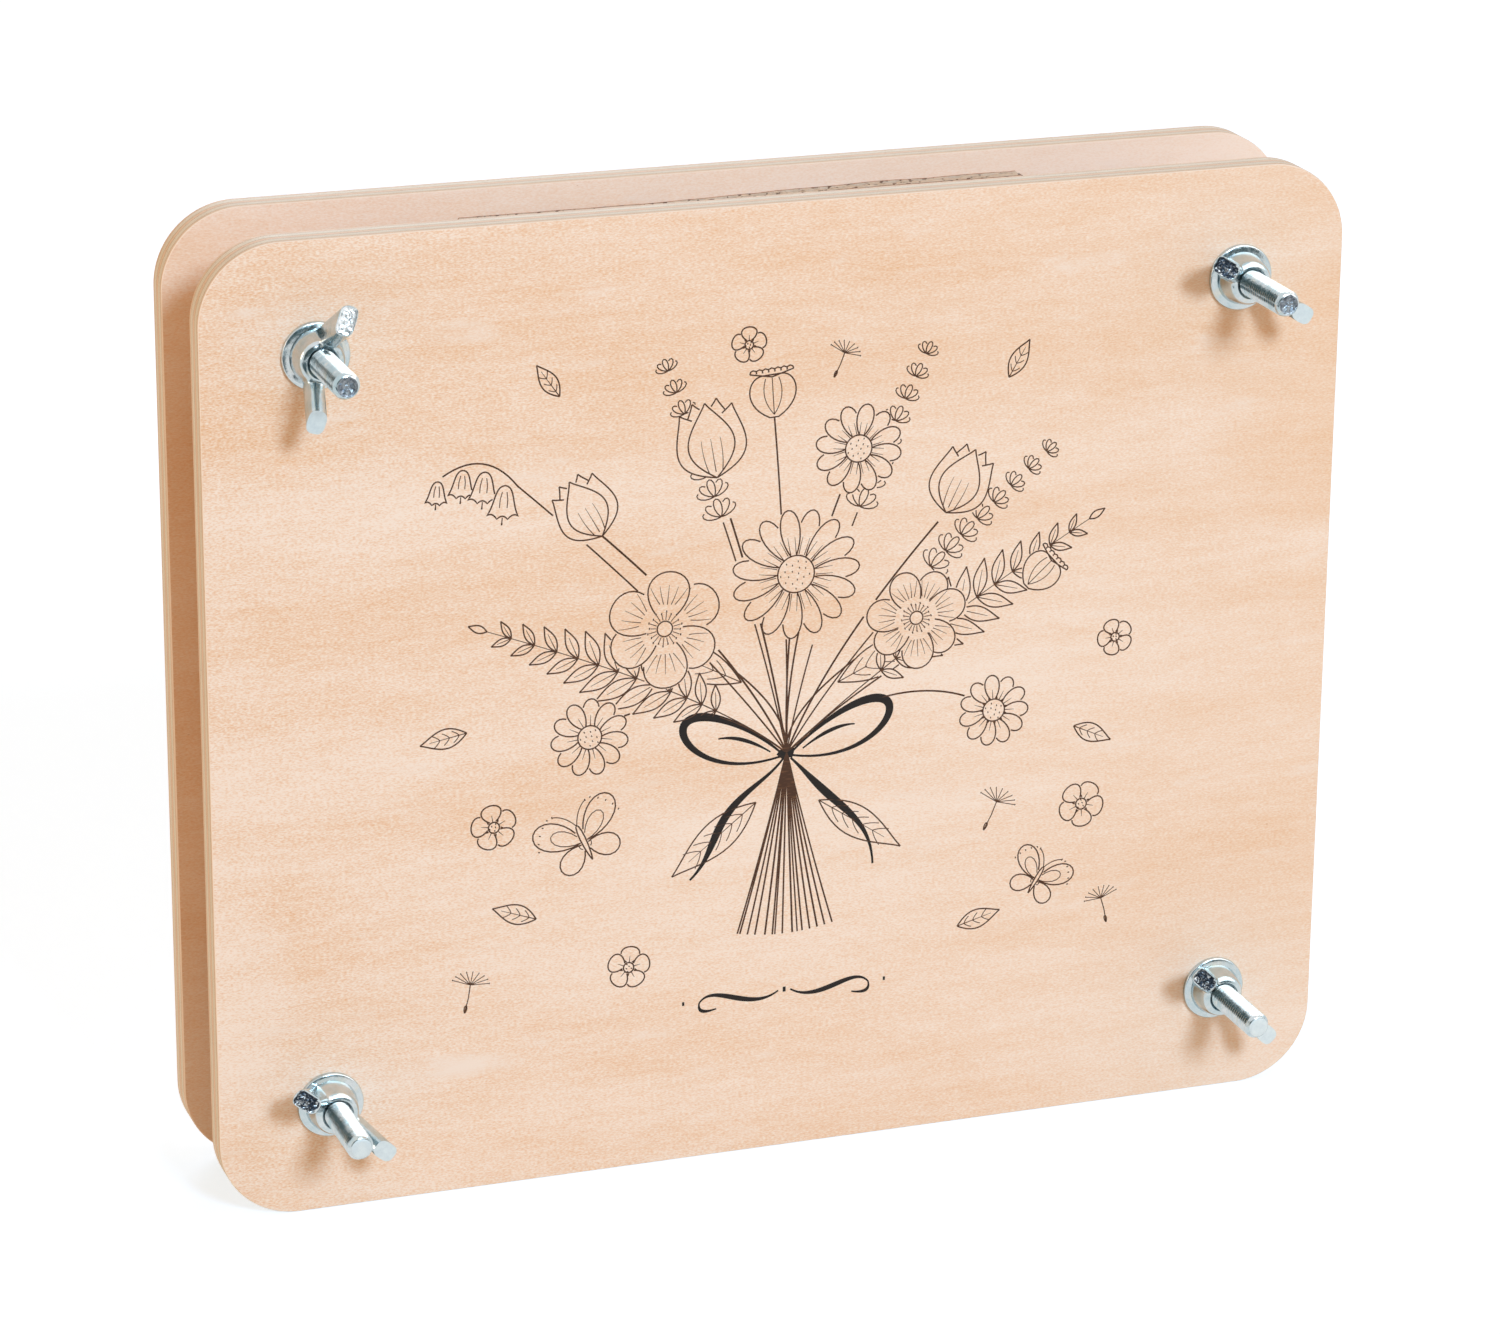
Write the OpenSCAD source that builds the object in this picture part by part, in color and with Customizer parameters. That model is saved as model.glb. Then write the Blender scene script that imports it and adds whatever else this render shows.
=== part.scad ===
// Flower press, standing on the lower edges of its two boards.
// X runs along the boards, Z is up, and the wing nuts face -Y.
// The origin lies under the middle of the press, at the height of those edges.

/* [Boards] */
// Width of both boards
board_w = 220; // [200:1:300]
// Height of both boards
board_h = 185; // [160:1:260]
// Thickness of the front board
front_board_t = 6.2; // [4:0.1:12]
// Thickness of the back board
back_board_t = 6.2; // [5:0.1:12]
// Radius of the boards' corners
board_corner_r = 15; // [4:0.5:20]
// Distance from a board's edges to the middle of each bolt
bolt_inset = 21; // [16:0.5:26]

/* [Sheets] */
// Distance from the boards' side edges to the sheets
sheet_side_margin = 10; // [6:0.5:20]
// Distance from the boards' upper and lower edges to the sheets
sheet_end_margin = 4.4; // [2:0.1:12]
// Distance from the middle of a bolt to the sheets' slanted corners
bolt_to_sheet = 12.7; // [8:0.1:20]
// Thickness of one corrugated card
card_t = 2.8; // [1.5:0.1:4]
// Thickness of one blotting sheet
blotter_t = 0.42; // [0.2:0.02:0.6]

/* [Bolts] */
// Thread diameter of the bolts
bolt_d = 5; // [4:0.5:6]
// Length of a bolt under its head
bolt_len = 55; // [50:1:70]
// Diameter of the domed head
head_d = 13; // [10:0.5:16]
// Height of the domed head
head_h = 3; // [2:0.1:4]
// How far each flat of the square neck stands out from the shank
neck_step = 0.1; // [0.05:0.05:0.5]
// Length of the square neck
neck_len = 3.6; // [2:0.1:4.5]
// Length of the thread, from the tip
thread_len = 24; // [20:1:34]
// Distance between two turns of the thread
thread_pitch = 0.8; // [0.7:0.1:1]
// Depth of the thread
thread_depth = 0.42; // [0.2:0.02:0.5]
// Height of the chamfer at the bolt's tip
tip_chamfer_h = 0.7; // [0.4:0.1:1.2]
// Drop in radius of that chamfer
tip_chamfer_r = 0.5; // [0.2:0.1:0.8]

/* [Washers] */
// Outer diameter of a washer
washer_d = 12.5; // [10:0.5:16]
// Thickness of a washer
washer_t = 1.2; // [0.8:0.1:2]

/* [Wing nuts] */
// Diameter of the hub where it bears on the washer
hub_d = 10; // [9:0.5:12]
// Diameter of the hub below its rounded shoulder
hub_top_d = 8.6; // [8:0.2:10]
// Height of the hub
hub_h = 4.6; // [4:0.1:6]
// Radius of the hub's rounded shoulder
hub_round_r = 1.4; // [0.6:0.1:1.6]
// Distance from the nut's middle to the middle of a wing's end
wing_reach = 9.4; // [8:0.1:11]
// Height of the wings' ends over the washer
wing_h = 10; // [8:0.5:12]
// Lean of the wings away from the bolt, in degrees
wing_lean = 34; // [26:1:38]
// Length of a wing's oval section
wing_section_l = 4.2; // [3.6:0.1:4.6]
// Width of a wing's oval section
wing_section_w = 3.1; // [2.4:0.1:3.6]
// Turn of the top left nut's wings from level, in degrees
top_left_turn = 72; // [0:1:180]
// Turn of the top right nut's wings from level, in degrees
top_right_turn = 148; // [0:1:180]
// Turn of the bottom right nut's wings from level, in degrees
bottom_right_turn = 136; // [0:1:180]
// Turn of the bottom left nut's wings from level, in degrees
bottom_left_turn = 141; // [0:1:180]

/* [Fits] */
// Play around a bolt in the front board's hole
board_hole_play = 0.5; // [0.3:0.05:1]
// Play around a bolt in the back board's hole
back_hole_play = 0.2; // [0.1:0.05:0.4]
// Play around the square neck in its socket
neck_play = 0.05; // [0.02:0.01:0.1]
// Play around a bolt in a washer
washer_play = 0.2; // [0.1:0.05:0.4]
// Running play around a bolt in a wing nut
nut_play = 0.06; // [0.02:0.01:0.1]

/* [Hidden] */
$fn = 64;
overrun = 1;

// The stack holds this many cards, and this many blotting sheets between two cards
card_count = 6;
blotters_per_gap = 2;

// The stack of sheets, from its front card to its back card
blotter_gap_t = blotters_per_gap * blotter_t;
sheet_step = card_t + blotter_gap_t;
stack_t = card_count * card_t + (card_count - 1) * blotter_gap_t;

// Places through the depth of the press, from the bolts' tips to their heads
press_depth = bolt_len + head_h;
tip_y = -press_depth / 2;
head_seat_y = tip_y + bolt_len;
stack_back_y = head_seat_y - back_board_t;
stack_front_y = stack_back_y - stack_t;
front_face_y = stack_front_y - front_board_t;

// Places of the bolts across the boards, by their signs in X and Z
bolt_x = board_w / 2 - bolt_inset;
bolt_dz = board_h / 2 - bolt_inset;
board_mid_z = board_h / 2;
top_left = [-1, 1];
top_right = [1, 1];
bottom_right = [1, -1];
bottom_left = [-1, -1];

// Size of a sheet, whose slanted corners keep their distance from the bolts
sheet_w = board_w - 2 * sheet_side_margin;
sheet_h = board_h - 2 * sheet_end_margin;
sheet_cut = sheet_w / 2 + sheet_h / 2 - bolt_x - bolt_dz + bolt_to_sheet * sqrt(2);

// Width across the flats of a bolt's square neck
neck_w = bolt_d + 2 * neck_step;

// A solid whose base stands on Z = 0, laid with its base at depth y and its top towards -Y
module laid(y) {
    translate([0, y, 0]) rotate([90, 0, 0]) children();
}

// A solid on the axis of the bolt at one corner, with its base at depth y
module on_bolt(corner, y) {
    translate([corner.x * bolt_x, 0, board_mid_z + corner.y * bolt_dz]) laid(y) children();
}

// Outline of a board: a rectangle with round corners, standing on its lower edge
module board_outline() {
    flat_w = board_w - 2 * board_corner_r;
    flat_h = board_h - 2 * board_corner_r;
    translate([0, board_mid_z]) {
        square([board_w, flat_h], center = true);
        square([flat_w, board_h], center = true);
        for (sx = [-1, 1], sz = [-1, 1])
            translate([sx * flat_w / 2, sz * flat_h / 2]) circle(r = board_corner_r);
    }
}

// Outline of a sheet: a rectangle with slanted corners that leave room for the bolts
module sheet_outline() {
    half_w = sheet_w / 2;
    half_h = sheet_h / 2;
    translate([0, board_mid_z])
        polygon([
            [half_w, half_h - sheet_cut], [half_w - sheet_cut, half_h],
            [sheet_cut - half_w, half_h], [-half_w, half_h - sheet_cut],
            [-half_w, sheet_cut - half_h], [sheet_cut - half_w, -half_h],
            [half_w - sheet_cut, -half_h], [half_w, sheet_cut - half_h],
        ]);
}

// Holes for the four bolts through a board of thickness t whose back face is at depth y
module bolt_holes(y, t, d) {
    for (sx = [-1, 1], sz = [-1, 1])
        on_bolt([sx, sz], y + overrun) cylinder(d = d, h = t + 2 * overrun);
}

// Back board, with a square socket behind each hole that keeps the bolt from turning
module back_board() {
    socket_w = neck_w + 2 * neck_play;
    color("burlywood")
        difference() {
            laid(head_seat_y) linear_extrude(back_board_t) board_outline();
            bolt_holes(head_seat_y, back_board_t, bolt_d + 2 * back_hole_play);
            for (sx = [-1, 1], sz = [-1, 1])
                on_bolt([sx, sz], head_seat_y + overrun)
                    translate([-socket_w / 2, -socket_w / 2, 0])
                        cube([socket_w, socket_w, neck_len + neck_play + overrun]);
        }
}

// Front board, which slides along the bolts
module front_board() {
    color("bisque")
        difference() {
            laid(stack_front_y) linear_extrude(front_board_t) board_outline();
            bolt_holes(stack_front_y, front_board_t, bolt_d + 2 * board_hole_play);
        }
}

// Half section of a bolt's shank: plain, then a thread of V grooves, then a chamfered tip
function shank_section() =
    let (
        r = bolt_d / 2,
        start = bolt_len - thread_len,
        crest = thread_pitch / 8,
        groove = thread_pitch - crest,
        turns = floor((thread_len - tip_chamfer_h - crest) / thread_pitch)
    )
    concat(
        [[0, 0], [r, 0]],
        [for (i = [0 : turns - 1], p = [
            [r, start + i * thread_pitch],
            [r - thread_depth, start + i * thread_pitch + groove / 2],
            [r, start + i * thread_pitch + groove],
        ]) p],
        [[r, bolt_len - tip_chamfer_h], [r - tip_chamfer_r, bolt_len], [0, bolt_len]]
    );

// Carriage bolt: domed head, square neck and threaded shank
module bolt(corner) {
    dome_r = (pow(head_d / 2, 2) + pow(head_h, 2)) / (2 * head_h);
    color("lightsteelblue")
        on_bolt(corner, head_seat_y) {
            intersection() {
                translate([0, 0, dome_r - head_h]) sphere(r = dome_r);
                translate([0, 0, -head_h]) cylinder(d = head_d, h = head_h);
            }
            translate([-neck_w / 2, -neck_w / 2, 0]) cube([neck_w, neck_w, neck_len]);
            rotate_extrude() polygon(shank_section());
        }
}

// Washer between the front board and a wing nut
module washer(corner) {
    color("silver")
        on_bolt(corner, front_face_y)
            difference() {
                cylinder(d = washer_d, h = washer_t);
                translate([0, 0, -overrun])
                    cylinder(d = bolt_d + 2 * washer_play, h = washer_t + 2 * overrun);
            }
}

// Half section of a wing nut's hub: a slight cone with a rounded shoulder
module hub_section() {
    shoulder_z = hub_h - hub_round_r;
    shoulder_r = hub_top_d / 2 - hub_round_r;
    polygon([[0, 0], [hub_d / 2, 0], [hub_top_d / 2, shoulder_z], [0, shoulder_z]]);
    translate([0, shoulder_z - hub_round_r]) square([shoulder_r, 2 * hub_round_r]);
    intersection() {
        translate([shoulder_r, shoulder_z]) circle(r = hub_round_r);
        translate([0, shoulder_z]) square([hub_top_d / 2, hub_round_r]);
    }
}

// One wing: an oval bar that leans out of the hub and ends flat
module wing() {
    flat_l = wing_section_l - wing_section_w;
    bar_len = 2 * (wing_h + wing_section_l) / cos(wing_lean);
    intersection() {
        translate([wing_reach, 0, wing_h])
            rotate([0, wing_lean, 0])
                translate([0, 0, -bar_len / 2])
                    linear_extrude(bar_len) {
                        square([flat_l, wing_section_w], center = true);
                        for (side = [-1, 1])
                            translate([side * flat_l / 2, 0]) circle(d = wing_section_w);
                    }
        translate([0, -wing_section_w, 0])
            cube([2 * wing_reach, 2 * wing_section_w, wing_h]);
    }
}

// Wing nut, turned so that its wings lie at the given angle from level
module wing_nut(corner, turn) {
    color("gainsboro")
        on_bolt(corner, front_face_y - washer_t)
            rotate([0, 0, turn])
                difference() {
                    union() {
                        rotate_extrude() hub_section();
                        for (side = [0, 180]) rotate([0, 0, side]) wing();
                    }
                    translate([0, 0, -overrun])
                        cylinder(d = bolt_d + 2 * nut_play, h = wing_h + 2 * overrun);
                }
}

// One sheet of thickness t whose back face is at depth y
module sheet(y, t) {
    laid(y) linear_extrude(t) sheet_outline();
}

// Corrugated card number i, counted from 1 at the front
module card(i) {
    color("tan") sheet(stack_front_y + (i - 1) * sheet_step + card_t, card_t);
}

// Blotting sheet number i, counted from 1 at the front, behind the cards in front of it
module blotter(i) {
    gap = ceil(i / blotters_per_gap);
    in_gap = i - (gap - 1) * blotters_per_gap;
    card_back_y = stack_front_y + (gap - 1) * sheet_step + card_t;
    color("linen") sheet(card_back_y + in_gap * blotter_t, blotter_t);
}

back_board();
front_board();
bolt(top_left);  // bolt_top_left
bolt(top_right);  // bolt_top_right
bolt(bottom_right);  // bolt_bottom_right
bolt(bottom_left);  // bolt_bottom_left
washer(top_left);  // washer_top_left
washer(top_right);  // washer_top_right
washer(bottom_right);  // washer_bottom_right
washer(bottom_left);  // washer_bottom_left
wing_nut(top_left, top_left_turn);  // wing_nut_top_left
wing_nut(top_right, top_right_turn);  // wing_nut_top_right
wing_nut(bottom_right, bottom_right_turn);  // wing_nut_bottom_right
wing_nut(bottom_left, bottom_left_turn);  // wing_nut_bottom_left
card(1);  // card_1
card(2);  // card_2
card(3);  // card_3
card(4);  // card_4
card(5);  // card_5
card(6);  // card_6
blotter(1);  // blotter_1
blotter(2);  // blotter_2
blotter(3);  // blotter_3
blotter(4);  // blotter_4
blotter(5);  // blotter_5
blotter(6);  // blotter_6
blotter(7);  // blotter_7
blotter(8);  // blotter_8
blotter(9);  // blotter_9
blotter(10);  // blotter_10
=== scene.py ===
"""A wooden flower press, standing as it is kept between two pressings.

Two plywood boards with round corners clamp a stack of corrugated card and blotting
paper. Four carriage bolts come through both boards, each with a washer and a wing nut
in front. Every length is in metres, and -Y is the side of the wing nuts.
"""

import logging
import math
import random
from collections.abc import Callable, Iterable, Sequence
from dataclasses import dataclass, field
from enum import Enum

import bmesh
import bpy
from bmesh.types import BMEdge, BMesh, BMVert
from bpy.types import Material, Node, NodeSocket, Object
from mathutils import Matrix, Vector, noise


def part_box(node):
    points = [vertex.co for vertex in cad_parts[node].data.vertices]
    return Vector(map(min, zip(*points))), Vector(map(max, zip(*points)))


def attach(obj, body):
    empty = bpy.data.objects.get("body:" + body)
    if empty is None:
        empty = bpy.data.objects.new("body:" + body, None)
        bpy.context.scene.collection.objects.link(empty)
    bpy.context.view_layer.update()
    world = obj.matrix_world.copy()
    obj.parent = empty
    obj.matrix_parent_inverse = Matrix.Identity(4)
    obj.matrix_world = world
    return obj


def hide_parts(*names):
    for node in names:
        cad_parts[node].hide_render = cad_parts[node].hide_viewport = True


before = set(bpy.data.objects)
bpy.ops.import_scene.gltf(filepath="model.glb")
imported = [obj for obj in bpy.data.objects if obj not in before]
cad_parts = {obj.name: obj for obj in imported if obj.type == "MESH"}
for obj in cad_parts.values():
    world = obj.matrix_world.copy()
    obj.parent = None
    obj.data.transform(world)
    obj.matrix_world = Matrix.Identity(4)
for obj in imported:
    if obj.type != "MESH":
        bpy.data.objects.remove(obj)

log = logging.getLogger("flower_press")

MM = 0.001

MIDDLE_Z = 92.5 * MM
UP = Vector((0, 0, 1))
GOLDEN_TURN = 2.39996

Point = tuple[float, float]
Triple = tuple[float, float, float]
Rgba = tuple[float, float, float, float]
Box = tuple[float, float, float, float]
Value = float | NodeSocket
Tint = Rgba | NodeSocket


class Corner(Enum):
    """The corners of the press, with their signs in X and Z."""

    TOP_LEFT = (-1, 1)
    TOP_RIGHT = (1, 1)
    BOTTOM_RIGHT = (1, -1)
    BOTTOM_LEFT = (-1, -1)

    @property
    def label(self) -> str:
        """The corner's part of a node's name."""
        return self.name.lower()


class TipEnd(Enum):
    """How the end of a bolt was cut."""

    FLAT = "flat"
    DIMPLED = "dimpled"


class TornEnd(Enum):
    """How the shears left the end of a nut's first wing."""

    PITTED = "pitted"
    SMEARED = "smeared"


class Bench:
    """A material or a world on the bench: adds its nodes and joins them up."""

    def __init__(self, name: str, world: bool = False) -> None:
        """Start an empty material or world.

        Args:
            name: Its name.
            world: Whether it is a world.
        """
        self.made = (bpy.data.worlds if world else bpy.data.materials).new(name)
        self.made.use_nodes = True
        self.tree = self.made.node_tree
        self.tree.nodes.clear()
        self.output = self.add("OutputWorld" if world else "OutputMaterial", {})

    def add(
        self, kind: str, inputs: dict[str | int, Value | tuple[float, ...]], **settings: str | bool
    ) -> Node:
        """Add one node.

        Args:
            kind: The node's type, without the words ShaderNode.
            inputs: Values or sockets for its inputs, by name or number.
            **settings: Values of the node's own properties.

        Returns:
            The new node.
        """
        node = self.tree.nodes.new("ShaderNode" + kind)
        for key, value in settings.items():
            setattr(node, key, value)
        for key, value in inputs.items():
            socket = node.inputs[key]
            if isinstance(value, NodeSocket):
                self.tree.links.new(value, socket)
            else:
                socket.default_value = value
        return node

    def place(self, scale: Triple = (1, 1, 1), start: Triple = (0, 0, 0)) -> NodeSocket:
        """Object coordinates, stretched for a pattern.

        Args:
            scale: Repeats a metre along each axis.
            start: Where the pattern starts.

        Returns:
            The stretched coordinates.
        """
        where = self.add("TexCoord", {}).outputs["Object"]
        moved = self.add("Mapping", {"Vector": where, "Location": start, "Scale": scale})
        return moved.outputs["Vector"]

    def noise(
        self,
        at: NodeSocket,
        detail: float = 2.0,
        roughness: float = 0.5,
        distortion: float = 0.0,
    ) -> NodeSocket:
        """Smooth noise from 0 to 1 at stretched coordinates.

        Args:
            at: The coordinates.
            detail: Number of finer layers.
            roughness: Weight of the finer layers.
            distortion: How far the pattern is stirred.

        Returns:
            The noise value.
        """
        inputs = {
            "Vector": at,
            "Scale": 1.0,
            "Detail": detail,
            "Roughness": roughness,
            "Distortion": distortion,
        }
        return self.add("TexNoise", inputs).outputs["Fac"]

    def pattern(
        self, scale: float, detail: float = 2.0, roughness: float = 0.5, distortion: float = 0.0
    ) -> NodeSocket:
        """Smooth noise that is as fine in every direction."""
        return self.noise(self.place((scale, scale, scale)), detail, roughness, distortion)

    def reach(
        self, value: NodeSocket, low: float, high: float, out: Point = (0.0, 1.0)
    ) -> NodeSocket:
        """Stretch a value from its low and high ends to the two output values, and clamp it."""
        inputs = {"Value": value, 1: low, 2: high, 3: out[0], 4: out[1]}
        return self.add("MapRange", inputs).outputs["Result"]

    def ramp(
        self, value: NodeSocket, stops: Sequence[tuple[float, Rgba]], step: bool = False
    ) -> NodeSocket:
        """Colours along a value.

        Args:
            value: The value, from 0 to 1.
            stops: Places and colours.
            step: Whether each colour holds until the next.

        Returns:
            The colour.
        """
        node = self.add("ValToRGB", {"Fac": value})
        node.color_ramp.interpolation = "CONSTANT" if step else "LINEAR"
        elements = node.color_ramp.elements
        while len(elements) < len(stops):
            elements.new(1.0)
        for element, (place, colour) in zip(elements, stops):
            element.position = place
            element.color = colour
        return node.outputs["Color"]

    def mix(self, share: Value, first: Tint, second: Tint) -> NodeSocket:
        """Mix two colours or their sockets; the share is the second one's."""
        inputs = {0: share, 6: first, 7: second}
        return self.add("Mix", inputs, data_type="RGBA", clamp_factor=True).outputs[2]

    def sum(self, kind: str, first: Value, second: Value) -> NodeSocket:
        """One step of arithmetic with two values or sockets."""
        return self.add("Math", {0: first, 1: second}, operation=kind).outputs[0]

    def bump(
        self, height: NodeSocket, depth: float, below: NodeSocket | None = None
    ) -> NodeSocket:
        """Relief from a height.

        Args:
            height: The height's socket, from 0 to 1.
            depth: Depth of the relief, in metres.
            below: A relief that this one lies on.

        Returns:
            The surface direction.
        """
        inputs = {"Height": height, "Distance": depth, "Strength": 1.0}
        if below is not None:
            inputs["Normal"] = below
        return self.add("Bump", inputs).outputs["Normal"]

    def choose(self, share: NodeSocket, first: Node, second: Node) -> Node:
        """Mix two shaders; the share is the second one's."""
        return self.add("MixShader", {0: share, 1: first.outputs[0], 2: second.outputs[0]})

    def show(self, shader: Node) -> None:
        """Join a shader to the output."""
        self.tree.links.new(shader.outputs[0], self.output.inputs["Surface"])

    def surface(
        self,
        colour: Tint,
        roughness: Value,
        relief: NodeSocket | None = None,
        specular: float = 0.5,
        metallic: float = 0.0,
    ) -> Material:
        """Finish a material with one surface shader.

        Args:
            colour: Its colour, or the colour's socket.
            roughness: Its roughness, or the roughness's socket.
            relief: Its surface direction.
            specular: Strength of its reflection.
            metallic: 1 for a metal.

        Returns:
            The finished material.
        """
        inputs = {"Base Color": colour, "Roughness": roughness, "Metallic": metallic}
        inputs["Specular IOR Level"] = specular
        if relief is not None:
            inputs["Normal"] = relief
        self.show(self.add("BsdfPrincipled", inputs))
        return self.made


def screen(red: float, green: float, blue: float) -> Rgba:
    """A colour as a screen shows it.

    Args:
        red: Red, from 0 to 255.
        green: Green, from 0 to 255.
        blue: Blue, from 0 to 255.

    Returns:
        The same colour as a shader takes it.
    """

    def linear(level: float) -> float:
        """Undo the screen's curve for one level."""
        share = level / 255
        return share / 12.92 if share <= 0.04045 else ((share + 0.055) / 1.055) ** 2.4

    return (linear(red), linear(green), linear(blue), 1.0)


@dataclass(frozen=True)
class GrainLayer:
    """One layer of the grain: its repeats a metre, and how much it changes the tone.

    A layer that fades is stronger at the left than at the right.
    """

    along: float
    across: float
    weight: float
    detail: float = 2.0
    fades: bool = False


@dataclass(frozen=True)
class Patch:
    """A long soft patch of the veneer, and how much it changes there."""

    x: float
    z: float
    half_l: float
    half_h: float
    change: float = 1.0


def patch_mm(x: float, z: float, half_l: float, half_h: float, change: float = 1.0) -> Patch:
    """A patch whose place and size are given in millimetres."""
    return Patch(x * MM, z * MM, half_l * MM, half_h * MM, change)


@dataclass(frozen=True)
class VeneerFinish:
    """Pale sanded veneer: soft level bands under short, dense fibres.

    The tone is a number that the ramp turns into a colour. It is higher, and so paler, to the
    right and at the foot, which is painted light. The patches and the noise of each layer of
    the grain are added to it, and the finest layer also makes the relief. Some patches are
    painted light, and the pale streaks are a painted sheen, with painted reflections of light
    from the nuts on the spots near them.
    """

    name: str
    start: Triple = (0.0, 0.0, 0.0)
    warm: Rgba = screen(234, 188, 146)
    plain: Rgba = screen(242, 212, 188)
    pale: Rgba = screen(250, 233, 221)
    # Colour of the painted sheen and of the painted reflections from the nuts.
    sheen: Rgba = screen(247, 231, 220)
    fleck: Rgba = screen(190, 140, 104)
    contrast: float = 1.0
    tones: tuple[Patch, ...] = ()
    nut_reflections: tuple[Patch, ...] = ()
    half_w: float = 110 * MM
    drift: float = 6 * MM
    fading: Point = (1.1, 0.6)
    painted_light_left_to_right: Point = (0.45, 0.56)
    painted_foot_light_h: float = 150 * MM
    painted_foot_light: float = 0.22
    fibre_relief: float = 0.02 * MM
    layers: tuple[GrainLayer, ...] = (
        GrainLayer(5, 30, 0.8),
        GrainLayer(16, 90, 0.4),
        GrainLayer(45, 190, 0.3),
        GrainLayer(85, 520, 0.38, fades=True),
        GrainLayer(210, 1900, 0.55, fades=True),
        GrainLayer(1600, 4700, 2.0, detail=1.0, fades=True),
    )

    def build(self) -> Material:
        """Make the material.

        Returns:
            The material.
        """
        bench = Bench(self.name)
        sx, sy, sz = self.start
        drift = bench.noise(bench.place((9, 9, 26), self.start), 2)
        lift = bench.sum("MULTIPLY", bench.sum("SUBTRACT", drift, 0.5), self.drift)
        where = bench.add("SeparateXYZ", {0: bench.place()})
        height = bench.sum("ADD", where.outputs["Z"], lift)
        sideways = where.outputs["X"]
        parts = {0: sideways, 1: where.outputs["Y"], 2: height}
        wavy = bench.add("CombineXYZ", parts).outputs[0]

        def grain(along: float, across: float, shift: float, detail: float) -> NodeSocket:
            """Noise that is finer across the grain than along it.

            Args:
                along: Its fineness along the grain.
                across: Its fineness across the grain.
                shift: Moves it away from the other layers' noise.
                detail: Number of its octaves.

            Returns:
                The noise's socket.
            """
            start = (sx + shift, sy, sz + shift)
            inputs = {"Vector": wavy, "Location": start, "Scale": (along, along, across)}
            return bench.noise(bench.add("Mapping", inputs).outputs["Vector"], detail, 0.6)

        def inside(patch: Patch) -> NodeSocket:
            """How far inside a patch: 0 at its outline and 1 in its middle.

            Args:
                patch: The patch.

            Returns:
                The value's socket.
            """
            squares = []
            for at, middle, half in (
                (sideways, patch.x, patch.half_l),
                (height, patch.z, patch.half_h),
            ):
                share = bench.sum("DIVIDE", bench.sum("SUBTRACT", at, middle), half)
                squares.append(bench.sum("MULTIPLY", share, share))
            return bench.reach(bench.sum("ADD", *squares), 1.0, 0.0)

        fading = bench.reach(sideways, -self.half_w, self.half_w, self.fading)
        # Painted light: the tone rises to the right and towards the foot.
        tone = bench.reach(sideways, -self.half_w, self.half_w, self.painted_light_left_to_right)
        foot = bench.reach(where.outputs["Z"], 0.0, self.painted_foot_light_h, (self.painted_foot_light, 0.0))
        tone = bench.sum("ADD", tone, foot)
        # Some of the tone patches are painted light.
        for patch in self.tones:
            tone = bench.sum("ADD", tone, bench.sum("MULTIPLY", inside(patch), patch.change))
        for number, layer in enumerate(self.layers):
            noise_value = grain(layer.along, layer.across, 3.1 + 8.3 * number, layer.detail)
            change = bench.sum("MULTIPLY", bench.sum("SUBTRACT", noise_value, 0.5), layer.weight)
            if layer.fades:
                change = bench.sum("MULTIPLY", bench.sum("MULTIPLY", change, fading), self.contrast)
            tone = bench.sum("ADD", change, tone)
        colour = bench.ramp(tone, [(0.0, self.warm), (0.5, self.plain), (1.0, self.pale)])
        # Painted sheen: pale streaks, plus painted reflections of light from the nuts on the given
        # spots.
        streaks = grain(55, 230, 61.3, 3)
        painted_sheen = bench.reach(streaks, 0.62, 0.8, (0, 0.75))
        for patch in self.nut_reflections:
            reflected = bench.reach(streaks, 0.35, 0.6, (0, patch.change))
            painted_sheen = bench.sum("MAXIMUM", painted_sheen, bench.sum("MULTIPLY", inside(patch), reflected))
        colour = bench.mix(painted_sheen, colour, self.sheen)
        specks = grain(1100, 2600, 47.2, 0)
        colour = bench.mix(bench.reach(specks, 0.88, 0.92, (0, 0.45)), colour, self.fleck)
        roughness = bench.reach(tone, 0.3, 0.7, (0.62, 0.5))
        relief = bench.bump(noise_value, self.fibre_relief)
        return bench.surface(colour, roughness, relief, specular=0.3)


@dataclass(frozen=True)
class PlyEdgeFinish:
    """The layers that show on the edges of a board, with their glue lines."""

    name: str
    front_y: float
    back_y: float
    along: Rgba = screen(234, 213, 195)
    across: Rgba = screen(233, 228, 219)
    glue: Rgba = screen(170, 154, 134)
    joints: tuple[float, ...] = (0.15, 0.4, 0.6, 0.85)
    glue_share: float = 0.016
    wander: float = 0.3 * MM

    def build(self) -> Material:
        """Make the material.

        Returns:
            The material.
        """
        bench = Bench(self.name)
        depth = bench.add("SeparateXYZ", {0: bench.place()}).outputs["Y"]
        wobble = bench.noise(bench.place((45, 0, 45)), 2)
        depth = bench.sum("ADD", depth, bench.sum("MULTIPLY", wobble, self.wander))
        share = bench.reach(depth, self.front_y, self.back_y)
        stops = [(0.0, self.along)]
        for number, joint in enumerate(self.joints):
            stops.append((joint, self.glue))
            stops.append((joint + self.glue_share, self.along if number % 2 else self.across))
        layers = bench.ramp(share, stops, step=True)
        streaks = bench.noise(bench.place((130, 3200, 130)), 3, 0.6)
        layers = bench.mix(bench.reach(streaks, 0.45, 0.8, (0, 0.35)), layers, self.glue)
        pores = bench.pattern(2600, 1)
        layers = bench.mix(bench.reach(pores, 0.62, 0.75, (0, 0.4)), layers, self.glue)
        roughness = bench.reach(pores, 0.3, 0.7, (0.62, 0.8))
        relief = bench.bump(bench.sum("ADD", streaks, pores), 0.05 * MM)
        return bench.surface(layers, roughness, relief, specular=0.2)


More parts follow.
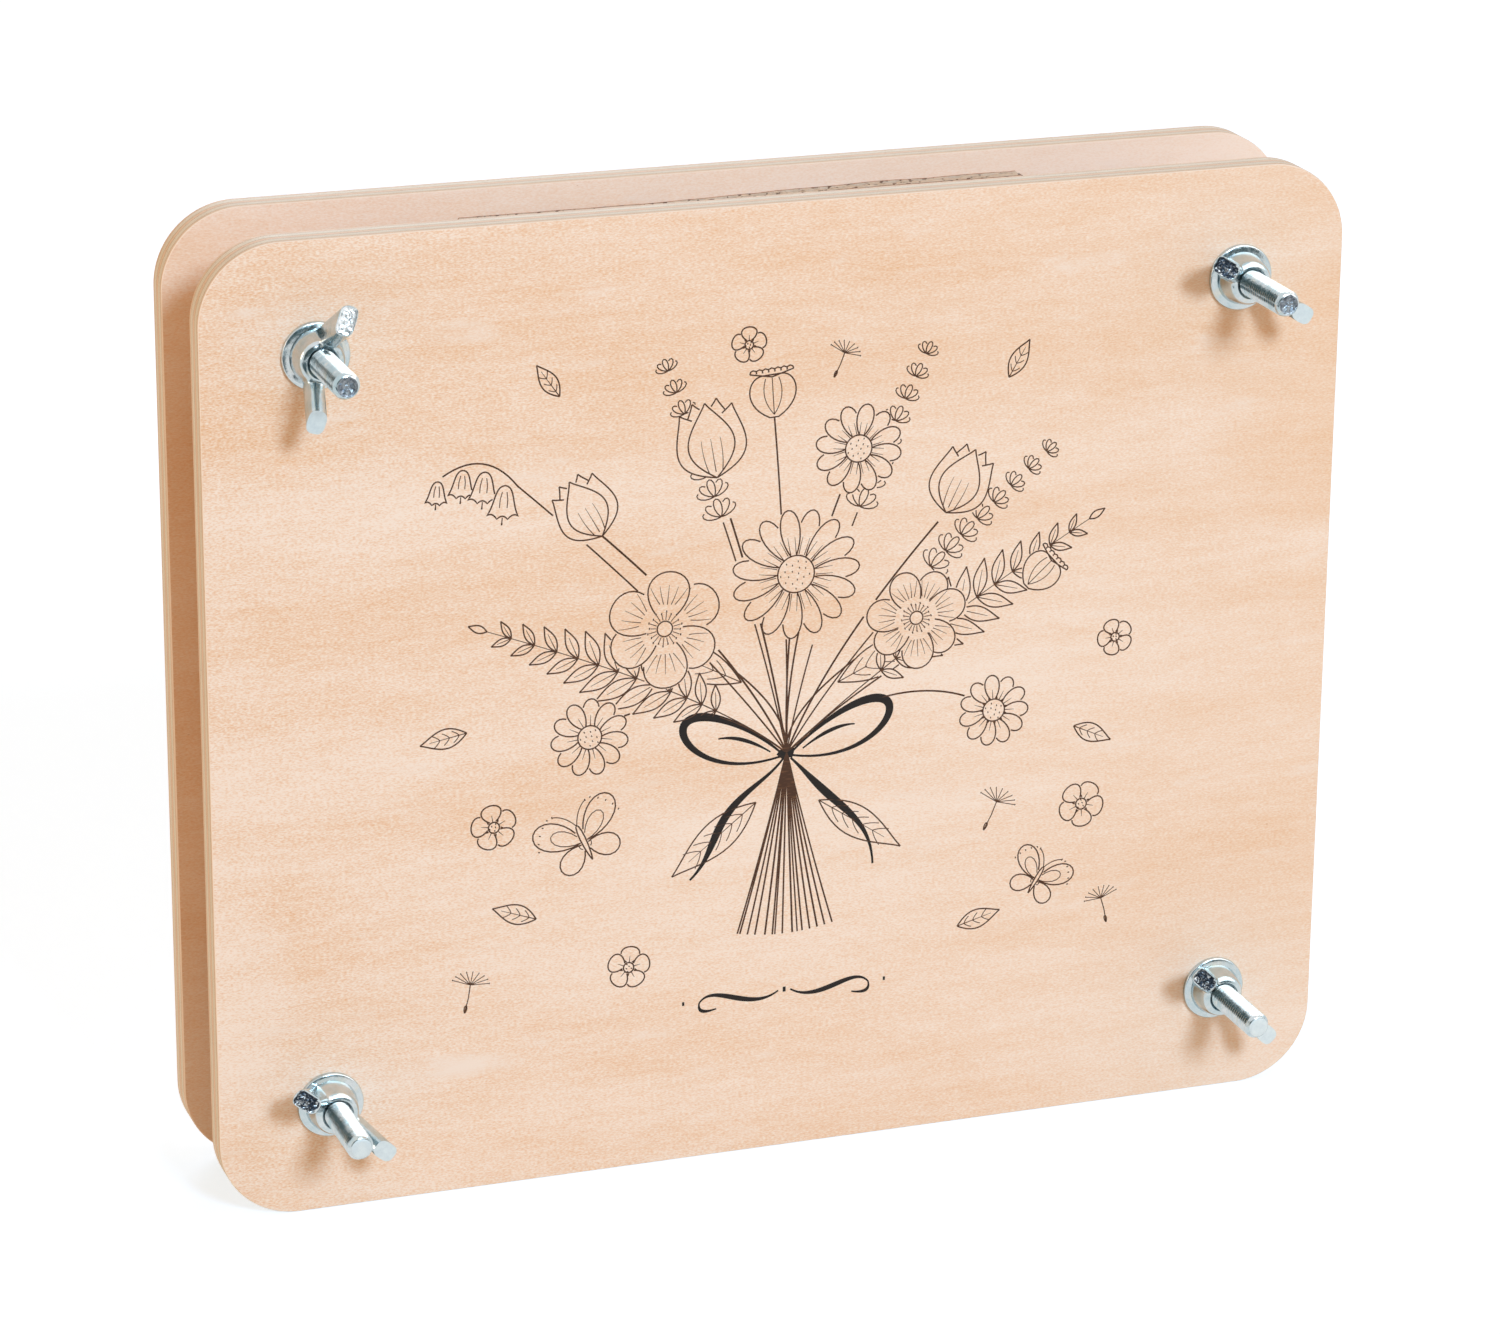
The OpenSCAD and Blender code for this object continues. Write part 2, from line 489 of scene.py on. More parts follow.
@dataclass(frozen=True)
class ZincFinish:
    """Bright zinc plate with a faint blue tint."""

    name: str
    cool: Rgba = (0.46, 0.57, 0.61, 1.0)
    neutral: Rgba = (0.64, 0.69, 0.71, 1.0)
    straw: Rgba = (0.66, 0.65, 0.57, 1.0)
    shine: Point = (0.11, 0.27)

    def build(self) -> Material:
        """Make the material.

        Returns:
            The material.
        """
        bench = Bench(self.name)
        clouds = bench.pattern(260, 3, 0.6, 0.4)
        colour = bench.mix(bench.reach(clouds, 0.35, 0.65), self.cool, self.neutral)
        tarnish = bench.noise(bench.place((420, 420, 420), (7, 3, 5)), 2, 0.5)
        colour = bench.mix(bench.reach(tarnish, 0.56, 0.74, (0, 0.6)), colour, self.straw)
        scuffs = bench.pattern(1900, 3, 0.65)
        roughness = bench.reach(scuffs, 0.35, 0.7, self.shine)
        relief = bench.bump(scuffs, 0.012 * MM, bench.bump(clouds, 0.06 * MM))
        return bench.surface(colour, roughness, relief, metallic=1.0)


@dataclass(frozen=True)
class ShearedZincFinish:
    """Torn metal, plated after it was sheared: bright crests, and pits painted dark as shade."""

    name: str
    # Colour painted in the pits as shade.
    dark: Rgba = (0.03, 0.04, 0.055, 1.0)
    bright: Rgba = (0.74, 0.78, 0.80, 1.0)
    crests: Point = (0.52, 0.68)
    grain: float = 1500.0

    def build(self) -> Material:
        """Make the material.

        Returns:
            The material.
        """
        bench = Bench(self.name)
        pits = bench.pattern(self.grain, 3, 0.7, 0.8)
        # Painted shade: the lower the pitted surface, the darker its colour.
        colour = bench.mix(bench.reach(pits, *self.crests), self.dark, self.bright)
        roughness = bench.reach(pits, 0.3, 0.7, (0.4, 0.22))
        return bench.surface(colour, roughness, bench.bump(pits, 0.15 * MM), metallic=1.0)


@dataclass(frozen=True)
class CutZincFinish:
    """A flat cut end under its plating: matte, pale and a little cloudy."""

    name: str
    pale: Rgba = (0.70, 0.76, 0.77, 1.0)
    shade: Rgba = (0.62, 0.68, 0.70, 1.0)

    def build(self) -> Material:
        """Make the material.

        Returns:
            The material.
        """
        bench = Bench(self.name)
        clouds = bench.pattern(700, 3, 0.6)
        grit = bench.pattern(4200, 1)
        colour = bench.mix(bench.reach(clouds, 0.35, 0.65), self.pale, self.shade)
        roughness = bench.reach(clouds, 0.35, 0.65, (0.42, 0.5))
        return bench.surface(colour, roughness, bench.bump(grit, 0.006 * MM), metallic=1.0)


@dataclass(frozen=True)
class CardFinish:
    """Light brown kraft card with loose fibres, and dark specks of painted shade."""

    name: str
    plain: Rgba = screen(232, 214, 196)
    dark: Rgba = screen(196, 170, 146)
    light: Rgba = screen(244, 230, 214)
    # Colour of the painted shade in the flute openings.
    hole: Rgba = screen(104, 70, 50)

    def build(self) -> Material:
        """Make the material.

        Returns:
            The material.
        """
        bench = Bench(self.name)
        fibres = bench.noise(bench.place((700, 700, 160)), 3, 0.65, 0.5)
        colour = bench.mix(bench.reach(fibres, 0.3, 0.7), self.dark, self.light)
        clouds = bench.pattern(60, 3)
        colour = bench.mix(bench.reach(clouds, 0.3, 0.7, (0.45, 0.8)), colour, self.plain)
        # Painted shade: dark specks where flute openings lie in shadow.
        holes = bench.noise(bench.place((900, 1400, 900), (3, 8, 1)), 1)
        colour = bench.mix(bench.reach(holes, 0.6, 0.66, (0, 0.8)), colour, self.hole)
        roughness = bench.reach(fibres, 0.3, 0.7, (0.82, 0.95))
        return bench.surface(colour, roughness, bench.bump(fibres, 0.08 * MM), specular=0.15)


@dataclass(frozen=True)
class BlotterFinish:
    """Soft off-white blotting paper."""

    name: str
    plain: Rgba = screen(228, 221, 208)
    shade: Rgba = screen(203, 192, 174)

    def build(self) -> Material:
        """Make the material.

        Returns:
            The material.
        """
        bench = Bench(self.name)
        fibres = bench.pattern(1100, 3, 0.7, 0.4)
        clouds = bench.pattern(70, 2)
        share = bench.sum("MULTIPLY", bench.reach(fibres, 0.3, 0.7), bench.reach(clouds, 0, 1))
        colour = bench.mix(share, self.plain, self.shade)
        roughness = bench.reach(fibres, 0.3, 0.7, (0.88, 0.98))
        return bench.surface(colour, roughness, bench.bump(fibres, 0.05 * MM), specular=0.1)


@dataclass(frozen=True)
class InkFinish:
    """Ink printed on wood: its colour breaks up a little over the fibres."""

    name: str
    full: Rgba
    thin: Rgba

    def build(self) -> Material:
        """Make the material.

        Returns:
            The material.
        """
        bench = Bench(self.name)
        fibres = bench.noise(bench.place((400, 400, 2600)), 2, 0.6)
        colour = bench.mix(bench.reach(fibres, 0.5, 0.8), self.full, self.thin)
        return bench.surface(colour, bench.reach(fibres, 0.3, 0.7, (0.55, 0.75)), specular=0.25)


def finished(
    bm: BMesh,
    name: str,
    materials: Sequence[Material | None],
    crease: float = math.radians(32),
) -> Object:
    """Turn a bmesh into an object at the origin.

    Args:
        bm: The mesh, which is freed.
        name: Name of the object.
        materials: Its materials, in the order of the faces' numbers.
        crease: Bend past which an edge stays sharp.

    Returns:
        The object, linked to the scene.
    """
    for face in bm.faces:
        face.smooth = True
    for edge in bm.edges:
        edge.smooth = len(edge.link_faces) == 2 and edge.calc_face_angle(0.0) < crease
    mesh = bpy.data.meshes.new(name)
    bm.to_mesh(mesh)
    bm.free()
    for material in materials:
        mesh.materials.append(material)
    piece = bpy.data.objects.new(name, mesh)
    bpy.context.scene.collection.objects.link(piece)
    return piece


def discard(piece: Object) -> None:
    """Remove an object and its mesh or curve.

    Args:
        piece: The object.
    """
    data = piece.data
    store = bpy.data.curves if isinstance(data, bpy.types.Curve) else bpy.data.meshes
    bpy.data.objects.remove(piece)
    store.remove(data)


def settled(piece: Object) -> BMesh:
    """Take the mesh of an object as its modifiers leave it, and remove the object.

    Args:
        piece: An object that only helps to make a mesh.

    Returns:
        The mesh with its modifiers applied.
    """
    depsgraph = bpy.context.evaluated_depsgraph_get()
    mesh = bpy.data.meshes.new_from_object(piece.evaluated_get(depsgraph))
    bm = bmesh.new()
    bm.from_mesh(mesh)
    bpy.data.meshes.remove(mesh)
    discard(piece)
    return bm


def combined(bm: BMesh, other: BMesh, operation: str, slots: int) -> BMesh:
    """Combine two closed meshes.

    Args:
        bm: The first mesh.
        other: The second mesh.
        operation: The boolean's name.
        slots: How many materials the faces' numbers tell apart.

    Returns:
        The closed mesh that results.
    """
    body = finished(bm, "boolean_body", [None] * slots)
    tool = finished(other, "boolean_tool", [None] * slots)
    step = body.modifiers.new("step", "BOOLEAN")
    step.operation = operation
    step.solver = "EXACT"
    step.object = tool
    result = settled(body)
    discard(tool)
    return result


def carved(bm: BMesh, cutter: BMesh) -> BMesh:
    """Cut the second closed mesh out of the first."""
    return combined(bm, cutter, "DIFFERENCE", 3)


def joined(first: BMesh, second: BMesh) -> BMesh:
    """Fuse two closed meshes into their outer shell."""
    return combined(first, second, "UNION", 0)


def cut_off(
    bm: BMesh, at: Vector, facing: Vector, outer: bool = True, dist: float = 1e-7
) -> list[BMEdge]:
    """Cut away what lies on one side of a plane.

    Args:
        bm: The mesh.
        at: A point of the plane.
        facing: The plane's direction.
        outer: Whether the side that it faces goes, and not the other.
        dist: How near the plane a vertex counts as on it.

    Returns:
        The edges along the cut.
    """
    cut = bmesh.ops.bisect_plane(
        bm,
        geom=list(bm.verts) + list(bm.edges) + list(bm.faces),
        dist=dist,
        plane_co=at,
        plane_no=facing,
        clear_outer=outer,
        clear_inner=not outer,
    )["geom_cut"]
    return [item for item in cut if isinstance(item, BMEdge)]


def extruded(bm: BMesh, edges: Sequence[BMEdge]) -> tuple[set[BMVert], list[BMEdge]]:
    """Extrude a ring of edges on the spot.

    Args:
        bm: The mesh.
        edges: The ring.

    Returns:
        The new ring's vertices and its edges.
    """
    grown = bmesh.ops.extrude_edge_only(bm, edges=edges)["geom"]
    verts = {item for item in grown if isinstance(item, BMVert)}
    lines = [item for item in grown if isinstance(item, BMEdge)]
    return verts, [line for line in lines if all(vert in verts for vert in line.verts)]


def turned(profile: Sequence[Point], steps: int, ring: bool = False) -> BMesh:
    """Spin a half section about the Z axis.

    Args:
        profile: Radii and heights from one end of the section to the other.
        steps: Number of facets round the axis.
        ring: Whether the section closes on itself, as a washer's does.

    Returns:
        The closed shell.
    """
    bm = bmesh.new()
    verts = [bm.verts.new((radius, 0.0, height)) for radius, height in profile]
    edges = [bm.edges.new(pair) for pair in zip(verts, verts[1:])]
    if ring:
        edges.append(bm.edges.new((verts[-1], verts[0])))
    bmesh.ops.spin(
        bm,
        geom=verts + edges,
        cent=(0, 0, 0),
        axis=(0, 0, 1),
        angle=math.tau,
        steps=steps,
        use_merge=True,
    )
    bmesh.ops.remove_doubles(bm, verts=bm.verts, dist=1e-7)
    bmesh.ops.recalc_face_normals(bm, faces=bm.faces)
    return bm


def arc(centre: Point, radius: float, first: float, last: float, steps: int) -> list[Point]:
    """Points along an arc between two angles in degrees, both ends included."""
    turns = [math.radians(first + (last - first) * i / steps) for i in range(steps + 1)]
    return [(centre[0] + radius * math.cos(a), centre[1] + radius * math.sin(a)) for a in turns]


def bevelled(bm: BMesh, edges: Iterable[BMEdge], width: float, segments: int) -> None:
    """Round some edges.

    Args:
        bm: The mesh.
        edges: The edges that are rounded.
        width: How far the rounding reaches.
        segments: Number of facets across it.
    """
    bmesh.ops.bevel(
        bm,
        geom=list(edges),
        offset=width,
        offset_type="OFFSET",
        segments=segments,
        profile=0.5,
        affect="EDGES",
        clamp_overlap=True,
        material=-1,
    )


@dataclass(frozen=True)
class PressPlaces:
    """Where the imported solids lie, so that every piece meets them."""

    bolt_x: float
    bolt_low_z: float
    bolt_high_z: float
    front_face_y: float
    stack_front_y: float
    stack_back_y: float
    head_seat_y: float
    tip_y: float
    washer_front_y: float

    @classmethod
    def measured(cls) -> "PressPlaces":
        """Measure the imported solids.

        Returns:
            The places.
        """
        front_low, front_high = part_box("front_board")
        back_low, back_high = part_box("back_board")
        bolt_low, bolt_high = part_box("bolt_top_right")
        washer_low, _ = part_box("washer_top_right")
        middle_z = (front_low.z + front_high.z) / 2
        bolt_z = (bolt_low.z + bolt_high.z) / 2
        return cls(
            bolt_x=(bolt_low.x + bolt_high.x) / 2,
            bolt_low_z=2 * middle_z - bolt_z,
            bolt_high_z=bolt_z,
            front_face_y=front_low.y,
            stack_front_y=front_high.y,
            stack_back_y=back_low.y,
            head_seat_y=back_high.y,
            tip_y=bolt_low.y,
            washer_front_y=washer_low.y,
        )

    def on_bolt(self, corner: Corner, y: float) -> Matrix:
        """The place of a solid whose base lies at a depth and whose top faces the front.

        Args:
            corner: The corner of the bolt.
            y: Depth of the base.

        Returns:
            The transform from the solid's own axes.
        """
        sign_x, sign_z = corner.value
        z = self.bolt_high_z if sign_z > 0 else self.bolt_low_z
        quarter = Matrix.Rotation(math.pi / 2, 4, "X")
        return Matrix.Translation((sign_x * self.bolt_x, y, z)) @ quarter


@dataclass
class Board:
    """One plywood board, with its round corners, its softened arrises and its holes."""

    node: str
    body: str
    places: PressPlaces
    veneer: VeneerFinish
    edge: PlyEdgeFinish
    hole_d: float
    socket_w: float = 0.0
    socket_depth: float = 3.65 * MM
    corner_r: float = 15 * MM
    corner_steps: int = 20
    arris: float = 0.35 * MM

    def shape(self) -> BMesh:
        """Make the board's mesh.

        Returns:
            The board, with face number 0 for veneer, 1 for the edges and 2 for the front arris.
        """
        low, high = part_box(self.node)
        size = high - low
        bm = bmesh.new()
        place = Matrix.Translation((low + high) / 2) @ Matrix.Diagonal((*size, 1))
        bmesh.ops.create_cube(bm, size=1.0, matrix=place)
        uprights = [e for e in bm.edges if abs(e.verts[0].co.y - e.verts[1].co.y) > size.y / 2]
        bevelled(bm, uprights, self.corner_r, self.corner_steps)
        rims = [e for e in bm.edges if abs(e.verts[0].co.y - e.verts[1].co.y) < size.y / 2]
        bevelled(bm, rims, self.arris, 3)
        for corner in Corner:
            bm = carved(bm, self.hole(corner, low.y, high.y))
        for face in bm.faces:
            tilt = -face.normal.y
            face.material_index = 0 if abs(tilt) > 0.95 else 2 if tilt > 0.3 else 1
        return bm

    def hole(self, corner: Corner, low_y: float, high_y: float) -> BMesh:
        """Make the cutter of one hole.

        Args:
            corner: The corner that it is for.
            low_y: Front face of the board.
            high_y: Back face of the board.

        Returns:
            A closed cutter that reaches past both faces.
        """
        over = 1 * MM
        length = high_y - low_y + 2 * over
        radius = self.hole_d / 2
        profile = [(0, 0), (radius, 0), (radius, length), (0, length)]
        cutter = turned(profile, 48)
        if self.socket_w:
            deep = self.socket_depth + over
            place = Matrix.Translation((0, 0, deep / 2))
            size = Matrix.Diagonal((self.socket_w, self.socket_w, deep, 1))
            square = bmesh.new()
            bmesh.ops.create_cube(square, size=1.0, matrix=place @ size)
            cutter = joined(cutter, square)
        cutter.transform(self.places.on_bolt(corner, high_y + over))
        return cutter

    def build(self) -> Object:
        """Build and dress the board.

        Returns:
            The piece, which rides on its body.
        """
        # The front arris is paler: partly sanded wood, partly a painted highlight along the edge.
        sanded = VeneerFinish(
            f"{self.node}_arris",
            warm=self.veneer.plain,
            plain=screen(250, 236, 224),
            contrast=0.3,
        )
        finishes = [self.veneer.build(), self.edge.build(), sanded.build()]
        piece = finished(self.shape(), f"{self.node}_plywood", finishes, crease=math.radians(25))
        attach(piece, self.body)
        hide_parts(self.node)
        return piece


class RingShell:
    """A shell that grows from one ring of edges, a section at a time."""

    def __init__(self, bm: BMesh, edges: Sequence[BMEdge]) -> None:
        """Start from the edges of an open ring of the mesh."""
        self.bm = bm
        self.edges = list(edges)

    def grow(
        self, height: float, radius: float | Callable[[float], float], rough: float = 0.0
    ) -> None:
        """Extrude the ring to its next section.

        Args:
            height: Height of the new ring.
            radius: Its radius, or a function of the angle that gives it.
            rough: How far noise moves its points.
        """
        verts, self.edges = extruded(self.bm, self.edges)
        for vert in verts:
            angle = math.atan2(vert.co.y, vert.co.x)
            reach = radius(angle) if callable(radius) else radius
            flat = Vector((reach * math.cos(angle), reach * math.sin(angle), height))
            shake = rough * noise.noise(flat * 2200)
            vert.co = flat + UP * shake

    def close(self) -> None:
        """Close the shell with one flat face."""
        bmesh.ops.edgeloop_fill(self.bm, edges=self.edges)


@dataclass
class CarriageBolt:
    """A carriage bolt: domed head, square neck, plain shank, rolled thread and cut tip."""

    corner: Corner
    places: PressPlaces
    tip_end: TipEnd
    finish: Material
    tip_finish: Material
    shank_r: float = 2.5 * MM
    thread_len: float = 24 * MM
    pitch: float = 0.8 * MM
    thread_depth: float = 0.4 * MM
    crest: float = 0.1 * MM
    turn_steps: int = 60
    head_r: float = 6.5 * MM
    head_h: float = 3 * MM
    neck_half: float = 2.6 * MM
    neck_len: float = 3.6 * MM
    chamfer_h: float = 0.7 * MM
    chamfer_r: float = 0.5 * MM
    dome_steps: int = 13
    tip_h: float = 0.75 * MM

    @property
    def length(self) -> float:
        """Length under the head."""
        return self.places.head_seat_y - self.places.tip_y

    def thread(self) -> tuple[BMesh, float, float]:
        """Spin the thread as one unbroken helix and cut it level at both ends.

        Returns:
            The open tube, and the heights of its two ends.
        """
        low = self.length - self.thread_len
        high = self.length - self.chamfer_h
        root = self.shank_r - self.thread_depth
        flank = self.pitch / 2 - self.crest
        start = low - 1.5 * self.pitch
        turns = math.ceil((high - start) / self.pitch) + 1
        section = [
            (self.shank_r, 0.0),
            (self.shank_r, self.crest),
            (root, self.crest + flank),
            (root, 2 * self.crest + flank),
            (self.shank_r, self.pitch),
        ]
        bm = bmesh.new()
        verts = [bm.verts.new((radius, 0, start + rise)) for radius, rise in section]
        edges = [bm.edges.new(pair) for pair in zip(verts, verts[1:])]
        bmesh.ops.spin(
            bm,
            geom=verts + edges,
            cent=(0, 0, 0),
            axis=(0, 0, 1),
            dvec=(0, 0, self.pitch / self.turn_steps),
            angle=math.tau,
            steps=self.turn_steps,
            use_merge=False,
        )
        one_turn = list(bm.verts) + list(bm.edges) + list(bm.faces)
        for turn in range(1, turns):
            copied = bmesh.ops.duplicate(bm, geom=one_turn)["geom"]
            moved = [item for item in copied if isinstance(item, BMVert)]
            bmesh.ops.translate(bm, verts=moved, vec=(0, 0, turn * self.pitch))
        bmesh.ops.remove_doubles(bm, verts=bm.verts, dist=2e-6)
        for height, outer in ((low, False), (high, True)):
            cut_off(bm, Vector((0, 0, height)), UP, outer)
        bmesh.ops.remove_doubles(bm, verts=bm.verts, dist=2e-6)
        return bm, low, high

    def square_neck(self, angle: float) -> float:
        """Radius of the square neck at an angle."""
        return self.neck_half / max(abs(math.cos(angle)), abs(math.sin(angle)))

    def shape(self) -> BMesh:
        """Make the bolt on the Z axis, with its head's seat at 0 and its tip up.

        Returns:
            The bolt, with face number 1 on the end of its tip and 0 elsewhere.
        """
        bm, low, high = self.thread()
        open_edges = [edge for edge in bm.edges if len(edge.link_faces) == 1]
        middle = (low + high) / 2
        tail = RingShell(bm, [e for e in open_edges if e.verts[0].co.z < middle])
        tip = RingShell(bm, [e for e in open_edges if e.verts[0].co.z > middle])
        tail.grow(low - 0.35 * MM, self.shank_r)
        for share in (0.75, 0.5, 0.25):
            tail.grow(self.neck_len + (low - self.neck_len) * share, self.shank_r)
        tail.grow(self.neck_len, self.shank_r)
        tail.grow(self.neck_len - 0.1 * MM, self.square_neck)
        tail.grow(0.0, self.square_neck)
        tail.grow(0.0, self.head_r - 0.2 * MM)
        dome_r = (self.head_r**2 + self.head_h**2) / (2 * self.head_h)
        dome_mid = dome_r - self.head_h
        edge_turn = math.asin(self.head_r / dome_r)
        tail.grow(-0.12 * MM, self.head_r)
        for step in range(1, self.dome_steps):
            turn = edge_turn * (1 - step / self.dome_steps)
            tail.grow(dome_mid - dome_r * math.cos(turn), dome_r * math.sin(turn))
        tail.close()
        inner = self.shank_r - self.chamfer_r
        sections = [(0.1 * MM, inner + 0.06 * MM, 0.0)]
        if self.tip_end is TipEnd.FLAT:
            sections += [(0.0, inner - 0.12 * MM, 0.0)]
            sections += [(0.0, inner * 0.6, 0.0), (0.0, inner * 0.2, 0.0)]
        else:
            sections += [(0.0, inner - 0.15 * MM, 0.0)]
            sections += [(0.08 * MM, inner - 0.4 * MM, 0.06 * MM)]
            sections += [(0.4 * MM, inner - 0.62 * MM, 0.2 * MM)]
            sections += [(0.5 * MM, inner * 0.4, 0.25 * MM), (0.5 * MM, inner * 0.15, 0.2 * MM)]
        for drop, radius, rough in sections:
            tip.grow(self.length - drop, radius, rough)
        tip.close()
        bmesh.ops.recalc_face_normals(bm, faces=bm.faces)
        reach = inner - (0.25 if self.tip_end is TipEnd.DIMPLED else 0.05) * MM
        for face in bm.faces:
            centre = face.calc_center_median()
            if centre.z > self.length - self.tip_h and centre.xy.length < reach:
                face.material_index = 1
        return bm

    def build(self) -> Object:
        """Build and dress the bolt.

        Returns:
            The piece, which rides on the back frame.
        """
        bm = self.shape()
        bm.transform(self.places.on_bolt(self.corner, self.places.head_seat_y))
        finishes = [self.finish, self.tip_finish]
        piece = finished(bm, f"bolt_{self.corner.label}_zinc", finishes, math.radians(40))
        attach(piece, "back_frame")
        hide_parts(f"bolt_{self.corner.label}")
        return piece


@dataclass
class Washer:
    """A stamped washer: its front rim is rounded by the die, and its face dips a little."""

    corner: Corner
    places: PressPlaces
    finish: Material
    outer_r: float = 6.25 * MM
    bore_r: float = 2.7 * MM
    rounding: float = 0.4 * MM
    burr: float = 0.12 * MM

    def shape(self) -> BMesh:
        """Make the washer on the Z axis, with its back at 0.

        Returns:
            The washer.
        """
        t = self.places.front_face_y - self.places.washer_front_y
        r, b = self.rounding, self.burr
        profile = [(self.bore_r, b), (self.bore_r + b, 0), (self.outer_r - b, 0)]
        profile += [(self.outer_r, b)]
        profile += [(self.outer_r, t - 2.2 * r)]
        profile += arc((self.outer_r - r, t - 1.55 * r), r, 12, 68, 5)
        profile += [(self.outer_r - 0.9 * MM, t - 0.5 * r), (self.outer_r - 1.5 * MM, t - 0.14 * r)]
        profile += [(self.outer_r - 2.0 * MM, t)]
        profile += [(self.bore_r + 0.2 * MM, t), (self.bore_r, t - 0.15 * MM)]
        return turned(profile, 96, ring=True)

    def build(self) -> Object:
        """Build and dress the washer.

        Returns:
            The piece, which rides on the front frame.
        """
        bm = self.shape()
        bm.transform(self.places.on_bolt(self.corner, self.places.front_face_y))
        piece = finished(bm, f"washer_{self.corner.label}_zinc", [self.finish])
        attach(piece, "front_frame")
        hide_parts(f"washer_{self.corner.label}")
        return piece


@dataclass
class WingNut:
    """A cold-forged wing nut: a round hub that flows into two leaning bars with cut ends."""

    corner: Corner
    places: PressPlaces
    turn: float
    finish: Material
    torn_finish: Material
    cut_finish: Material
    dark_reflection_finish: Material
    dark_reflection_side: float = 1.0
    hub_r: float = 5 * MM
    hub_top_r: float = 4.3 * MM
    hub_h: float = 4.6 * MM
    shoulder_r: float = 1.4 * MM
    bore_r: float = 2.56 * MM
    wing_reach: float = 9.4 * MM
    wing_h: float = 10 * MM
    wing_lean: float = math.radians(34)
    torn_l: float = 4.65 * MM
    plain_l: float = 3.5 * MM
    wing_w: float = 3.45 * MM
    rim_share: float = 0.1
    bowl_share: float = 0.16
    shears_half_l: float = 4.4 * MM
    shears_half_w: float = 3 * MM
    voxel: float = 0.2 * MM
    smoothings: int = 16
    over: float = 0.8 * MM

    def hub(self) -> BMesh:
        """Spin the hub, with a spare length below its seat.

        Returns:
            The hub.
        """
        shoulder = self.hub_h - self.shoulder_r
        profile = [(0, -self.over), (self.hub_r, -self.over), (self.hub_r, 0.3 * MM)]
        centre = (self.hub_top_r - self.shoulder_r, shoulder)
        profile += arc(centre, self.shoulder_r, 0, 90, 10)
        profile += [(0, self.hub_h)]
        return turned(profile, 72)

    def wing(self, side: float, section_l: float) -> BMesh:
        """Make one bar, which leans out of the hub.

        Args:
            side: Its angle about the hub.
            section_l: Length of its section.

        Returns:
            The bar, with a spare length past its end.
        """
        bm = bmesh.new()
        length = self.wing_h / math.cos(self.wing_lean) + 2 * self.over
        size = Matrix.Diagonal((section_l, self.wing_w, length, 1))
        bmesh.ops.create_cube(bm, size=1.0, matrix=size)
        uprights = [e for e in bm.edges if abs(e.verts[0].co.z - e.verts[1].co.z) > length / 2]
        bevelled(bm, uprights, self.wing_w * 0.33, 4)
        drop = length / 2 - 2 * self.over
        lean = Matrix.Rotation(self.wing_lean, 4, "Y") @ Matrix.Translation((0, 0, -drop))
        end = Matrix.Translation((self.wing_reach, 0, self.wing_h))
        bm.transform(Matrix.Rotation(side, 4, "Z") @ end @ lean)
        return bm

    def cut_level(self, bm: BMesh, height: float, outer: bool) -> None:
        """Cut the forging level, either above a height or below it, and close the cut."""
        edges = cut_off(bm, Vector((0, 0, height)), UP, outer)
        bmesh.ops.edgeloop_fill(bm, edges=edges)

    def torn_height(self, at: Vector) -> float:
        """Height of the torn end over a point: a pitted bowl inside a raised rim.

        Args:
            at: The point.

        Returns:
            The height.
        """
        along = (at.x - self.wing_reach) / (self.torn_l / math.cos(self.wing_lean) / 2)
        across = at.y / (self.wing_w / 2)
        inward = max(0.0, 1 - (along**4 + across**4) ** 0.25)
        bowl = min(max((inward - self.rim_share) / self.bowl_share, 0.0), 1.0)
        pits = noise.noise(at * 1300) + 0.8 * noise.noise(at * 3100)
        return self.wing_h - max(0.0, 0.02 + bowl * (0.26 + 0.3 * pits)) * MM

    def shears(self) -> BMesh:
        """The cutter that tears the end of the first wing.

        Returns:
            The closed cutter, with face number 1 in the torn bowl.
        """
        bm = bmesh.new()
        size = Matrix.Diagonal((self.shears_half_l, self.shears_half_w, 1, 1))
        place = Matrix.Translation((self.wing_reach, 0, 0)) @ size
        bmesh.ops.create_grid(bm, x_segments=52, y_segments=36, size=1.0, matrix=place)
        for vert in bm.verts:
            vert.co.z = self.torn_height(vert.co)
        rim_z = self.wing_h - 0.06 * MM
        for face in bm.faces:
            face.material_index = 1 if face.calc_center_median().z < rim_z else 0
        top, edges = extruded(bm, [edge for edge in bm.edges if edge.is_boundary])
        for vert in top:
            vert.co.z = self.wing_h + 2 * self.over
        bmesh.ops.edgeloop_fill(bm, edges=edges)
        bmesh.ops.recalc_face_normals(bm, faces=bm.faces)
        return bm

    def shape(self) -> BMesh:
        """Make the nut on the Z axis, with its seat at 0 and its torn wing towards +X.

        Returns:
            The nut, with face number 1 for the torn end, 2 for the cut end, 3 for the
            plain wing's face that gets a painted dark reflection, and 0 elsewhere.
        """
        bm = self.hub()
        for side, section_l in ((0, self.torn_l), (math.pi, self.plain_l)):
            bm = joined(bm, self.wing(side, section_l))
        blank = finished(bm, "nut_blank", [])
        skin = blank.modifiers.new("skin", "REMESH")
        skin.mode = "VOXEL"
        skin.voxel_size = self.voxel
        bm = settled(blank)
        axes = {"use_axis_x": True, "use_axis_y": True, "use_axis_z": True}
        for _ in range(self.smoothings):
            bmesh.ops.smooth_vert(bm, verts=bm.verts, factor=0.5, **axes)
        self.cut_level(bm, 0.0, outer=False)
        self.cut_level(bm, self.wing_h, outer=True)
        for face in bm.faces:
            if face.calc_center_median().z > self.wing_h - 0.01 * MM:
                face.material_index = 2
        bm = carved(bm, self.bore())
        bm = carved(bm, self.shears())
        bmesh.ops.recalc_face_normals(bm, faces=bm.faces)
